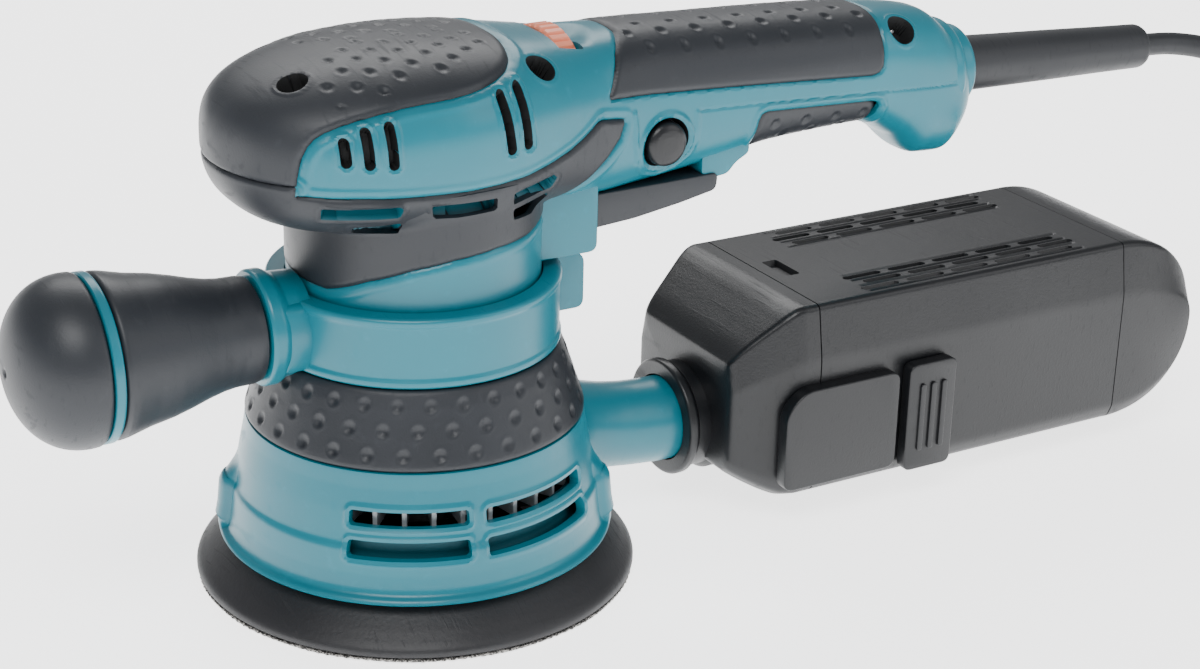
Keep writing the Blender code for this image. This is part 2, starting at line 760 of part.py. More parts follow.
def box_section(x, inset, wide=1.0, tall=1.0):
    """A section of the dust box: upright sides, a slope to the top, rounded bottom edges."""
    side, top, bottom = BOX_W - inset, BOX_Z[1] - inset, BOX_Z[0] + inset
    half = [(29.4 - inset, top), (30.6 - inset, top - 1.2), (side, 50.5), (side, bottom + 7)]
    half += [(side - 2.0, bottom + 2.6), (side - 6.6, bottom)]
    outline = half + [(-y, z) for y, z in reversed(half)]
    middle = (BOX_Z[0] + BOX_Z[1]) / 2
    return [(x, y * wide, middle + (z - middle) * tall) for y, z in outline]


def cover_solid(inset):
    """The front cover's outer shape, or the room inside it."""
    skin = prism("cover", grown(COVER_SIDE, -inset) if inset else COVER_SIDE, -40, 40)
    y = BOX_W - inset
    front = 83.0 + inset
    back = 115.0 if inset else 113.7
    plan = ((front, -y + 8), (front + 20, -y), (back, -y), (back, y), (front + 20, y), (front, y - 8))
    return keep(skin, prism("plan", plan, 0, 80, "Z"))


def build_box_front():
    centre = (0, 0, NOZZLE_Z)
    outline = [(12.9, 80.0), (17.4, 80.0), (17.4, 83.4), (15.9, 84.2), (15.9, 90.2), (17.4, 91.0)]
    outline += [(17.4, 96.6), (14.6, 96.6), (14.6, 103.0), (12.9, 103.0)]
    sleeve = turned("inlet_sleeve", outline, "X", centre, 32)
    finish(sleeve, "black_plastic")
    cover = cover_solid(0.0)
    cover.name = "box_cover"
    keep(cover, loft("section", [box_section(70, 0), box_section(120, 0)]))
    room = loft("section", [box_section(70, BOX_WALL), box_section(120, BOX_WALL)])
    cut(cover, keep(cover_solid(BOX_WALL), room))
    cut(cover, rod("inlet", 14.9, 90, 110, "X", centre, 32))
    for side in (-1, 1):
        ends = sorted((side * (BOX_W + GAP), side * (BOX_W + 4.0)))
        wing = round_box("wing", (100.0, ends[0], 13.0), (140.2, ends[1], 44.0), 4.0, "Y")
        ends = sorted((side * (BOX_W - 2.0), side * (BOX_W + 2.0)))
        join(cover, wing, block("root", (104.0, ends[0], 15.0), (112.0, ends[1], 42.0)))
    finish(cover, "black_plastic")


def build_box():
    body = loft("box_body", [box_section(x, 0) for x in BOX_X])
    cut(body, loft("room", [box_section(BOX_X[0] - 9, BOX_WALL), box_section(BOX_X[1] + 9, BOX_WALL)]))
    cut(body, block("top_hole", (118.5, -4, 60), (123.5, 4, 70)))
    finish(body, "black_plastic", (BOX_X[0], 0, NOZZLE_Z))
    rows = ((228.3, 1.0, 1.0), (236.0, 0.995, 0.975), (243.0, 0.985, 0.91), (249.0, 0.975, 0.81))
    rows += ((254.0, 0.96, 0.67), (257.6, 0.94, 0.50), (259.6, 0.92, 0.30), (260.3, 0.90, 0.12))
    cap = loft("box_end", [box_section(x, 0, wide, tall) for x, wide, tall in rows])
    inner = [(x - BOX_WALL if x > 230 else 220.0, wide, tall) for x, wide, tall in rows[:6]]
    cut(cap, loft("room", [box_section(x, BOX_WALL, wide, tall) for x, wide, tall in inner]))
    finish(cap, "black_plastic", (BOX_X[0], 0, NOZZLE_Z))
    for name, side in (("latch_left", -1), ("latch_right", 1)):
        ends = sorted((side * (BOX_W + GAP), side * (BOX_W + 5.2)))
        latch = round_box(name, (143.0, ends[0], 10.5), (160.5, ends[1], 45.0), 3.0, "Y")
        finish(latch, "black_plastic", (LATCH_X, side * LATCH_Y, 0))
    pleats = []
    for k in range(11):
        pleats.append((-25.0 + 5.0 * k, 60.5 if k % 2 else 54.0))
    outline = pleats + [(y, z - 1.3) for y, z in reversed(pleats)]
    finish(prism("box_filter", outline, 124.0, 222.0, "X"), "filter_paper")


# ---- Cord ----


def build_guard():
    rings = []
    rows = ((172.0, 6.6), (181.6, 6.6), (181.6, 8.4), (195.0, 8.1), (216.0, 7.7), (236.0, 7.2))
    rows += ((253.7, 6.9),)
    for x, r in rows:
        z = 122.6 - (x - 172.0) * (3.5 / 81.7)
        ring = []
        for k in range(FINE):
            a = 2 * math.pi * k / FINE
            ring.append((x, r * math.cos(a), z + r * math.sin(a)))
        rings.append(ring)
    finish(loft("cord_guard", rings), "cord_rubber")


def cord_points():
    """Points at an even step along a smooth curve through the route."""
    dense = []
    count = len(CORD_ROUTE)
    for i in range(count - 1):
        p0, p1 = Vector(CORD_ROUTE[max(i - 1, 0)]), Vector(CORD_ROUTE[i])
        p2, p3 = Vector(CORD_ROUTE[i + 1]), Vector(CORD_ROUTE[min(i + 2, count - 1)])
        for k in range(20):
            t = k / 20
            a = 2 * p1 + (p2 - p0) * t
            b = (2 * p0 - 5 * p1 + 4 * p2 - p3) * t**2 + (3 * p1 - p0 - 3 * p2 + p3) * t**3
            dense.append((a + b) / 2)
    dense.append(Vector(CORD_ROUTE[-1]))
    total = sum((b - a).length for a, b in zip(dense, dense[1:]))
    steps = round(total / CORD_STEP)
    points, walked, wanted = [dense[0]], 0.0, total / steps
    for a, b in zip(dense, dense[1:]):
        length = (b - a).length
        while walked + length >= wanted * len(points) and len(points) < steps:
            points.append(a.lerp(b, (wanted * len(points) - walked) / length))
        walked += length
    return points + [dense[-1]]


def build_cord():
    line = bpy.data.curves.new("cord", "CURVE")
    line.dimensions = "3D"
    spline = line.splines.new("POLY")
    points = cord_points()
    spline.points.add(len(points) - 1)
    for made, point in zip(spline.points, points):
        made.co = (*(point * MM), 1.0)
    line.bevel_depth = CORD_R * MM
    line.bevel_resolution = 3
    line.use_fill_caps = True
    line.materials.append(material("cord_rubber"))
    bpy.context.scene.collection.objects.link(bpy.data.objects.new("cord", line))
    x, y = COIL_CENTRE
    coil = tube("cord_coil", *COIL_R, 0.0, COIL_TOP_Z, centre=(x, y, 0))
    finish(coil, "cord_rubber")


def build_plug():
    x, y = COIL_CENTRE[0], COIL_CENTRE[1] + COIL_R[1] + GAP
    z = PLUG_R + 0.1
    outline = [(0, 0), (5.0, 0), (5.4, 12.0), (10.0, 17.0), (PLUG_R, 24.0), (PLUG_R, 38.0), (0, 38.0)]
    plug = turned("plug", outline, "Y", (x, y, z), FINE)
    for side in (-1, 1):
        join(plug, rod("pin", 2.4, 37.0, 57.0, "Y", (x + side * 7.0, y, z), 12))
    finish(plug, "cord_rubber")


def main():
    clear_scene()
    build_housing()
    build_rubbers()
    build_wedge()
    build_dial()
    build_trigger()
    build_lock_button()
    build_motor()
    build_fan()
    build_counterweight()
    build_pad()
    build_skirt()
    build_collar()
    build_grip()
    build_screws()
    build_box_front()
    build_box()
    build_guard()
    build_cord()
    build_plug()


main()
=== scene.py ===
"""Looks of the random-orbit sander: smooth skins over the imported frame, their materials, a floor,
soft light and the camera. Lengths are in millimetres until a piece is made."""

import math

import bmesh
import bpy
import numpy as np
from mathutils import Matrix, Vector


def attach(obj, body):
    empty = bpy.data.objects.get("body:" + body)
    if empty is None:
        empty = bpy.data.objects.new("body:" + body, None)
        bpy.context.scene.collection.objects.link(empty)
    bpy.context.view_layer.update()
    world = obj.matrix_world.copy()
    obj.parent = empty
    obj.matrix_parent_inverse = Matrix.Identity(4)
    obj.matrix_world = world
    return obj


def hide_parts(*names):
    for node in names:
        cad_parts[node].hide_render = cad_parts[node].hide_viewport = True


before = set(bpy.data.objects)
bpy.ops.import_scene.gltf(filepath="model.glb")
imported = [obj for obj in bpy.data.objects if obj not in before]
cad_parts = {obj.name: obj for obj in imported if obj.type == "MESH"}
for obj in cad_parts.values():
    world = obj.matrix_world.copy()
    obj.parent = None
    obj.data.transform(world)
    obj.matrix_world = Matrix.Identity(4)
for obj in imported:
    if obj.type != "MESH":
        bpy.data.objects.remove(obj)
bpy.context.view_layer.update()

MM = 0.001
TAU = 2 * math.pi

# ---- Camera, floor and light ----

CAMERA_PLACE = (-0.2678, -0.5456, 0.3183)
CAMERA_TURN = (-30.92, 22.32, 1.42)  # azimuth, elevation and roll, in degrees
CAMERA_LENS = 72.0


def make_camera():
    azimuth, elevation, roll = (math.radians(value) for value in CAMERA_TURN)
    back = Vector((
        math.sin(azimuth) * math.cos(elevation),
        -math.cos(azimuth) * math.cos(elevation),
        math.sin(elevation),
    ))
    side = Vector((math.cos(azimuth), math.sin(azimuth), 0.0))
    up = back.cross(side)
    right = math.cos(roll) * side + math.sin(roll) * up
    up = math.cos(roll) * up - math.sin(roll) * side
    data = bpy.data.cameras.new("camera")
    data.lens = CAMERA_LENS
    data.sensor_width = 36.0
    data.clip_start = 0.02
    data.clip_end = 50.0
    camera = bpy.data.objects.new("camera", data)
    camera.matrix_world = Matrix((
        (right.x, up.x, back.x, CAMERA_PLACE[0]),
        (right.y, up.y, back.y, CAMERA_PLACE[1]),
        (right.z, up.z, back.z, CAMERA_PLACE[2]),
        (0.0, 0.0, 0.0, 1.0),
    ))
    bpy.context.scene.collection.objects.link(camera)
    bpy.context.scene.camera = camera


def area_light(name, place, target, size, power):
    data = bpy.data.lights.new(name, "AREA")
    data.shape = "RECTANGLE"
    data.size, data.size_y = size
    data.energy = power
    light = bpy.data.objects.new(name, data)
    light.location = place
    light.rotation_mode = "QUATERNION"
    direction = Vector(target) - Vector(place)
    light.rotation_quaternion = direction.to_track_quat("-Z", "Y")
    bpy.context.scene.collection.objects.link(light)


def make_stage():
    mesh = bpy.data.meshes.new("floor")
    side, low = 6.0, -0.0004
    corners = [(-side, -side, low), (side, -side, low), (side, side, low), (-side, side, low)]
    mesh.from_pydata(corners, [], [(0, 1, 2, 3)])
    floor = bpy.data.objects.new("floor", mesh)
    bpy.context.scene.collection.objects.link(floor)
    pale = bpy.data.materials.new("pale_floor")
    pale.use_nodes = True
    shader = pale.node_tree.nodes["Principled BSDF"]
    shader.inputs["Base Color"].default_value = (0.86, 0.86, 0.865, 1.0)
    shader.inputs["Roughness"].default_value = 0.85
    shader.inputs["Specular IOR Level"].default_value = 0.1
    shader.inputs["Emission Color"].default_value = (1.0, 1.0, 1.0, 1.0)
    shader.inputs["Emission Strength"].default_value = 2.4
    mesh.materials.append(pale)
    world = bpy.data.worlds.new("studio")
    world.use_nodes = True
    sky = world.node_tree.nodes["Background"]
    sky.inputs["Color"].default_value = (0.95, 0.97, 1.0, 1.0)
    sky.inputs["Strength"].default_value = 0.42
    bpy.context.scene.world = world
    middle = (0.07, 0.0, 0.07)
    area_light("key", (-0.55, -0.75, 1.25), middle, (0.9, 0.6), 15.0)
    area_light("fill", (0.95, -0.9, 0.75), middle, (0.8, 0.8), 4.0)
    area_light("rim", (0.35, 0.9, 0.95), middle, (1.1, 0.5), 9.0)


# ---- Free cord ----

CORD_D = 0.0072
CORD_ROUTE = (
    (254.0, 0.0, 119.1),
    (268.0, -0.8, 118.3),
    (282.0, -6.0, 115.5),
    (294.0, -16.0, 109.0),
    (303.0, -28.5, 98.5),
    (309.0, -40.8, 84.0),
    (312.5, -51.5, 67.0),
    (315.5, -60.8, 49.0),
    (319.5, -68.5, 32.0),
    (326.0, -74.3, 17.5),
    (335.0, -77.2, 7.8),
    (342.6, -78.0, 4.4),
    (348.1, -78.0, 3.9),
)
COIL_CENTRE = (394.0, -78.0)
COIL_LEVELS = (3.7, 10.8, 17.9)  # heights of the coil's layers
COIL_RADII = (41.2, 34.0)  # radii of the turns in a layer


def smooth_route(points, step):
    """Points at an even step along a Catmull-Rom curve through a route."""
    route = [Vector(p) for p in points]
    dense = []
    last = len(route) - 1
    for i in range(last):
        p0, p1, p2, p3 = route[max(i - 1, 0)], route[i], route[i + 1], route[min(i + 2, last)]
        for k in range(24):
            t = k / 24
            a = 2 * p1 + (p2 - p0) * t
            b = (2 * p0 - 5 * p1 + 4 * p2 - p3) * t**2 + (3 * p1 - p0 - 3 * p2 + p3) * t**3
            dense.append((a + b) / 2)
    dense.append(route[-1])
    line = np.array([tuple(p) for p in dense])
    along = np.concatenate([[0], np.cumsum(np.linalg.norm(np.diff(line, axis=0), axis=1))])
    wanted = np.linspace(0, along[-1], max(2, round(along[-1] / step) + 1))
    return np.column_stack([np.interp(wanted, along, line[:, c]) for c in range(3)])


def cord_line():
    """The cord's centre line: down from the guard, then round and round the coil to the plug."""
    free = smooth_route(CORD_ROUTE, 6.0)
    turns = []
    cx, cy = COIL_CENTRE
    start = math.pi
    steps = 40
    path = []
    for n, z in enumerate(COIL_LEVELS):
        path += [(r, z) for r in COIL_RADII[::-1 if n % 2 else 1]]
    count = len(path)
    total = int(steps * (count + 0.25))
    for k in range(2, total + 1):
        turn = k / steps
        n = min(int(turn), count - 1)
        part = turn - int(turn)
        blend = min(max((part - 0.80) / 0.20, 0.0), 1.0)
        blend = blend * blend * (3 - 2 * blend)
        after = path[min(n + 1, count - 1)]
        r = path[n][0] * (1 - blend) + after[0] * blend
        z = path[n][1] * (1 - blend) + after[1] * blend
        a = start + TAU * turn
        turns.append((cx + r * math.cos(a), cy + r * math.sin(a), z))
    return free, np.array(turns)


# ---- Grids that bend to outlines ----


def eased(t):
    t = np.clip(t, 0.0, 1.0)
    return t * t * (3 - 2 * t)


def hat(value, low, high):
    """0 outside low to high, rising to 1 in the middle."""
    middle, half = (low + high) / 2, (high - low) / 2
    return eased(1 - np.abs(value - middle) / half)


def pchip(knots, values, at):
    """Cubic interpolation without overshoot, of each column of values."""
    knots, values = np.asarray(knots, float), np.asarray(values, float)
    step = np.diff(knots)
    slope = np.diff(values, axis=0) / step[:, None]
    product = slope[:-1] * slope[1:]
    inner = np.where(product > 0, 2 * product / (slope[:-1] + slope[1:] + 1e-12), 0)
    grads = np.vstack([slope[:1], inner, slope[-1:]])
    at = np.clip(at, knots[0], knots[-1])
    i = np.clip(np.searchsorted(knots, at, side="right") - 1, 0, len(knots) - 2)
    h = step[i]
    t = (at - knots[i]) / h
    t, h = t[..., None], h[..., None]
    v0, v1, g0, g1 = values[i], values[i + 1], grads[i] * h, grads[i + 1] * h
    return ((2 * (v0 - v1) + g0 + g1) * t + (3 * (v1 - v0) - 2 * g0 - g1)) * t * t + g0 * t + v0


def polygon_field(a, b, outline):
    """Signed distance from points (a, b) to a closed outline, below 0 inside."""
    nearest = np.full(a.shape, 1e9)
    inside = np.zeros(a.shape, bool)
    count = len(outline)
    for i in range(count):
        (a0, b0), (a1, b1) = outline[i], outline[(i + 1) % count]
        da, db = a1 - a0, b1 - b0
        t = np.clip(((a - a0) * da + (b - b0) * db) / (da * da + db * db + 1e-12), 0, 1)
        nearest = np.minimum(nearest, np.hypot(a - a0 - t * da, b - b0 - t * db))
        if db:
            crosses = (b0 > b) != (b1 > b)
            inside ^= crosses & (a < a0 + (b - b0) * da / db)
    return np.where(inside, -nearest, nearest)


def segment_distance(a, b, start, end):
    da, db = end[0] - start[0], end[1] - start[1]
    t = np.clip(((a - start[0]) * da + (b - start[1]) * db) / (da * da + db * db), 0, 1)
    return np.hypot(a - start[0] - t * da, b - start[1] - t * db)


def route_distance(p, route):
    """Distance from points to a line of straight runs, seen from the side."""
    found = np.full(p.shape[:-1], 1e3)
    for start, end in zip(route, route[1:]):
        found = np.minimum(found, segment_distance(p[..., 0], p[..., 2], start, end))
    return found


def ball_field(points, centre, radius):
    return np.linalg.norm(points - np.array(centre), axis=-1) - radius


def grid_normals(points, wrap):
    if wrap:
        dv = np.roll(points, -1, 1) - np.roll(points, 1, 1)
    else:
        dv = np.gradient(points, axis=1)
    du = np.gradient(points, axis=0)
    normal = np.cross(du, dv)
    length = np.linalg.norm(normal, axis=-1, keepdims=True)
    return normal / np.maximum(length, 1e-9)


def facing_out(faces, normals, outward):
    """Faces and normals, both turned round if outward, a measure of how far they point out, is below 0."""
    if np.sum(outward) < 0:
        return faces[:, ::-1], -normals
    return faces, normals


def snapped(place, rows, columns, wrap, fields):
    """Grid positions moved by up to half a cell, so that grid points lie on the zero line of each field."""
    home_u, home_v = np.meshgrid(np.arange(rows, dtype=float), np.arange(columns, dtype=float), indexing="ij")
    u, v = home_u.copy(), home_v.copy()
    for _ in range(3):
        values = np.array([field(place(u, v)) for field in fields])
        if wrap:
            gv = (np.roll(values, -1, 2) - np.roll(values, 1, 2)) / 2
        else:
            gv = np.gradient(values, axis=2)
        gu = np.gradient(values, axis=1)
        size = gu**2 + gv**2 + 1e-12
        away = np.abs(values) / np.sqrt(size)
        best = np.argmin(away, axis=0)[None]
        f, a, b, s = (np.take_along_axis(x, best, 0)[0] for x in (values, gu, gv, size))
        near = np.take_along_axis(away, best, 0)[0] < 0.62
        u = np.where(near, u - f * a / s, u)
        v = np.where(near, v - f * b / s, v)
        u = np.clip(u, home_u - 0.47, home_u + 0.47)
        v = np.clip(v, home_v - 0.47, home_v + 0.47)
        u = np.clip(u, 0, rows - 1)
    return u, v


def grid_faces(rows, columns, wrap, values):
    """Triangles of a grid. Each cell is split along the diagonal whose ends lie nearest a zero line."""
    last = columns if wrap else columns - 1
    r, c = np.meshgrid(np.arange(rows - 1), np.arange(last), indexing="ij")
    n = (c + 1) % columns
    ids = [r * columns + c, (r + 1) * columns + c, (r + 1) * columns + n, r * columns + n]
    flat = np.abs(values).reshape(len(values), -1)
    near = np.where(flat < 0.06, 1.0, 0.0).max(0)
    one = near[ids[0]] + near[ids[2]]
    two = near[ids[1]] + near[ids[3]]
    a, b, c2, d = (i.ravel() for i in ids)
    swap = (two > one).ravel()
    first = np.where(swap[:, None], np.column_stack([a, b, d]), np.column_stack([a, b, c2]))
    second = np.where(swap[:, None], np.column_stack([b, c2, d]), np.column_stack([a, c2, d]))
    return np.vstack([first, second])


def with_walls(points, faces, normals, depth):
    """Adds a wall of the given depth behind every open edge of a set of faces."""
    if not len(faces):
        return points, faces
    edges = np.vstack([faces[:, [0, 1]], faces[:, [1, 2]], faces[:, [2, 0]]])
    key = np.sort(edges, axis=1)
    _, index, counts = np.unique(key, axis=0, return_index=True, return_counts=True)
    rim = edges[index[counts == 1]]
    used = np.unique(rim)
    where = np.full(len(points), -1)
    where[used] = len(points) + np.arange(len(used))
    below = points[used] - normals[used] * depth
    a, b = rim[:, 0], rim[:, 1]
    wall = np.vstack([np.column_stack([b, a, where[a]]), np.column_stack([b, where[a], where[b]])])
    return np.vstack([points, below]), np.vstack([faces, wall])


def compact(points, faces):
    used, index = np.unique(faces, return_inverse=True)
    return points[used], index.reshape(faces.shape)


# ---- Making a piece ----


def piece_of(name, points, faces, look, body, nodes=(), sharp=38):
    """A visible piece in metres that rides a body and stands for CAD nodes."""
    points, faces = compact(np.asarray(points, float), np.asarray(faces))
    mesh = bpy.data.meshes.new(name)
    mesh.from_pydata((points * MM).tolist(), [], faces.tolist())
    mesh.validate()
    return dress(bpy.data.objects.new(name, mesh), look, body, nodes, sharp)


def dress(obj, look, body, nodes=(), sharp=38):
    if not obj.users_collection:
        bpy.context.scene.collection.objects.link(obj)
    obj.data.materials.clear()
    obj.data.materials.append(LOOKS[look])
    obj.data.shade_smooth()
    obj.data.set_sharp_from_angle(angle=math.radians(sharp))
    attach(obj, body)
    if nodes:
        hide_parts(*nodes)
    return obj


def solid_from(name, build, bevel, segments=3):
    """A bevelled mesh object from a bmesh builder, in millimetres turned to metres."""
    work = bmesh.new()
    build(work)
    bmesh.ops.recalc_face_normals(work, faces=work.faces)
    if bevel:
        edges = [e for e in work.edges if len(e.link_faces) == 2 and e.calc_face_angle() > math.radians(18)]
        bmesh.ops.bevel(work, geom=edges, offset=bevel, segments=segments, profile=0.5, affect="EDGES",
                        clamp_overlap=True)
    bmesh.ops.triangulate(work, faces=[f for f in work.faces if len(f.verts) > 4])
    bmesh.ops.scale(work, vec=(MM, MM, MM), verts=work.verts)
    mesh = bpy.data.meshes.new(name)
    work.to_mesh(mesh)
    work.free()
    return bpy.data.objects.new(name, mesh)


def prism_into(work, outline, low, high, axis="Y"):
    """Adds a prism of a closed outline to a bmesh: (x, z) along Y, (x, y) along Z, (y, z) along X."""
    rings = []
    for d in (low, high):
        places = [{"Y": (a, d, b), "Z": (a, b, d), "X": (d, a, b)}[axis] for a, b in outline]
        rings.append([work.verts.new(place) for place in places])
    count = len(outline)
    work.faces.new(rings[0])
    work.faces.new(rings[1][::-1])
    for i in range(count):
        j = (i + 1) % count
        work.faces.new((rings[0][i], rings[0][j], rings[1][j], rings[1][i]))


def bevelled_prism(name, outline, corner, ends, bevel, axis="Y", steps=4, segments=3):
    """A prism of an outline with rounded corners, between two ends, with bevelled edges."""
    side = rounded(outline, corner, steps)
    return solid_from(name, lambda work: prism_into(work, side, *ends, axis), bevel, segments)


def rounded(outline, radius, steps=5):
    """An outline with its corners rounded."""
    made = []
    count = len(outline)
    for i in range(count):
        before, here, after = (np.array(outline[k % count], float) for k in (i - 1, i, i + 1))
        a, b = before - here, after - here
        reach = min(radius, np.linalg.norm(a) * 0.49, np.linalg.norm(b) * 0.49)
        start, end = here + a / np.linalg.norm(a) * reach, here + b / np.linalg.norm(b) * reach
        for k in range(steps + 1):
            t = k / steps
            made.append(tuple((1 - t) ** 2 * start + 2 * t * (1 - t) * here + t * t * end))
    return made


def dense_line(outline, step, closed=False):
    line = np.array(list(outline) + ([outline[0]] if closed else []), float)
    along = np.concatenate([[0], np.cumsum(np.linalg.norm(np.diff(line, axis=0), axis=1))])
    wanted = np.linspace(0, along[-1], max(3, int(round(along[-1] / step)) + 1))
    made = np.column_stack([np.interp(wanted, along, line[:, c]) for c in range(line.shape[1])])
    return made[:-1] if closed else made


def turned_points(profile, axis, centre, u, v, sides):
    """Points of a turned surface: profile (radius, height) at position u, azimuth v out of sides."""
    profile = np.asarray(profile)
    index = np.arange(len(profile))
    r, h = np.interp(u, index, profile[:, 0]), np.interp(u, index, profile[:, 1])
    a = TAU * v / sides
    x, y = r * np.cos(a), r * np.sin(a)
    order = {"Z": (x, y, h), "X": (h, x, y), "Y": (y, h, x)}[axis]
    return np.stack(order, axis=-1) + np.array(centre)


def turned_piece(name, outline, look, body, nodes=(), axis="Z", centre=(0, 0, 0), sides=128, step=1.0,
                 shape=None, sharp=38, corner=0.0):
    """A turned piece. shape(points) gives how far each point moves out along its normal."""
    if corner:
        ends = (outline[0], outline[-1])
        inner = rounded(outline, corner, 4)[5:-5]
        outline = [ends[0]] + inner + [ends[1]]
    profile = dense_line(outline, step)
    rows = len(profile)
    u, v = np.meshgrid(np.arange(rows, dtype=float), np.arange(sides, dtype=float), indexing="ij")
    points = turned_points(profile, axis, centre, u, v, sides)
    faces = grid_faces(rows, sides, True, np.ones((1, rows, sides)))
    normals = grid_normals(points, True)
    faces, normals = facing_out(faces, normals, (points - points.reshape(-1, 3).mean(0)) * normals)
    if shape is not None:
        points = points + normals * shape(points)[..., None]
    return piece_of(name, points.reshape(-1, 3), faces, look, body, nodes, sharp)


# ---- Looks ----


class Tree:
    """A small helper that adds linked shader nodes."""

    def __init__(self, name):
        self.material = bpy.data.materials.new(name)
        self.material.use_nodes = True
        self.tree = self.material.node_tree
        self.shader = self.tree.nodes["Principled BSDF"]
        self.place = self.add("ShaderNodeTexCoord").outputs["Object"]

    def add(self, kind, **settings):
        node = self.tree.nodes.new(kind)
        for key, value in settings.items():
            setattr(node, key, value)
        return node

    def link(self, source, target):
        self.tree.links.new(source, target)

    def noise(self, scale, detail=3.0, roughness=0.55, stretch=None):
        node = self.add("ShaderNodeTexNoise")
        node.inputs["Scale"].default_value = scale
        node.inputs["Detail"].default_value = detail
        node.inputs["Roughness"].default_value = roughness
        place = self.place
        if stretch:
            mapping = self.add("ShaderNodeMapping")
            mapping.inputs["Scale"].default_value = stretch
            self.link(place, mapping.inputs["Vector"])
            place = mapping.outputs["Vector"]
        self.link(place, node.inputs["Vector"])
        return node.outputs["Fac"]

    def ranged(self, source, low, high, to_low, to_high):
        node = self.add("ShaderNodeMapRange", clamp=True)
        for key, value in zip(("From Min", "From Max", "To Min", "To Max"), (low, high, to_low, to_high)):
            node.inputs[key].default_value = value
        self.link(source, node.inputs["Value"])
        return node.outputs["Result"]

    def sum(self, first, second, how="ADD"):
        node = self.add("ShaderNodeMath", operation=how)
        self.link(first, node.inputs[0])
        self.link(second, node.inputs[1])
        return node.outputs["Value"]

    def mix(self, factor, first, second):
        node = self.add("ShaderNodeMix", data_type="RGBA")
        self.link(factor, node.inputs["Factor"])
        for socket, value in ((node.inputs[6], first), (node.inputs[7], second)):
            if isinstance(value, tuple):
                socket.default_value = (*value, 1.0)
            else:
                self.link(value, socket)
        return node.outputs[2]

    def bump(self, height, strength, distance):
        node = self.add("ShaderNodeBump")
        node.inputs["Strength"].default_value = strength
        node.inputs["Distance"].default_value = distance
        self.link(height, node.inputs["Height"])
        self.link(node.outputs["Normal"], self.shader.inputs["Normal"])


def make_look(name, colour, worn, rough, metallic=0.0, grain=(2200.0, 0.00003), specular=0.5, coat=0.0,
              scratches=0.25):
    """A moulded surface: patchy tone, uneven gloss, fine grain, faint scratches and a little wear."""
    t = Tree(name)
    patches = t.noise(28.0, 4.0)
    fine = t.noise(240.0, 5.0)
    lines = t.noise(900.0, 2.0, 0.5, (1.0, 0.06, 0.35))
    worn_part = t.ranged(patches, 0.42, 0.72, 0.0, 0.55)
    dusty = t.ranged(fine, 0.62, 0.80, 0.0, 0.30)
    base = t.mix(worn_part, colour, worn)
    dust = tuple(min(1.0, c * 1.5 + 0.012) for c in colour)
    t.link(t.mix(dusty, base, dust), t.shader.inputs["Base Color"])
    gloss = t.sum(t.ranged(patches, 0.3, 0.7, rough[0], rough[1]), t.ranged(lines, 0.60, 0.70, 0.0, 0.10))
    t.link(gloss, t.shader.inputs["Roughness"])
    t.shader.inputs["Metallic"].default_value = metallic
    t.shader.inputs["Specular IOR Level"].default_value = specular
    t.shader.inputs["Coat Weight"].default_value = coat
    t.shader.inputs["Coat Roughness"].default_value = 0.25
    height = t.sum(t.noise(grain[0], 3.0), t.ranged(lines, 0.60, 0.68, 0.0, scratches))
    t.bump(height, 0.6, grain[1])
    return t.material


def make_speckled(name, dark, light, scale):
    """Short hooks or fibres: a dense speckle of light tips over a dark ground."""
    t = Tree(name)
    speckle = t.noise(scale, 2.0, 0.7)
    t.link(t.mix(t.ranged(speckle, 0.45, 0.62, 0.0, 1.0), dark, light), t.shader.inputs["Base Color"])
    t.link(t.ranged(t.noise(60.0), 0.3, 0.7, 0.75, 0.95), t.shader.inputs["Roughness"])
    t.bump(speckle, 1.0, 0.0006)
    return t.material


def make_brushed(name, colour, rough):
    t = Tree(name)
    lines = t.noise(300.0, 3.0, 0.6, (0.12, 1.0, 2.2))
    t.link(t.mix(lines, colour, tuple(c * 0.78 for c in colour)), t.shader.inputs["Base Color"])
    t.link(t.ranged(lines, 0.3, 0.7, rough - 0.08, rough + 0.12), t.shader.inputs["Roughness"])
    t.shader.inputs["Metallic"].default_value = 1.0
    t.bump(lines, 0.4, 0.00005)
    return t.material


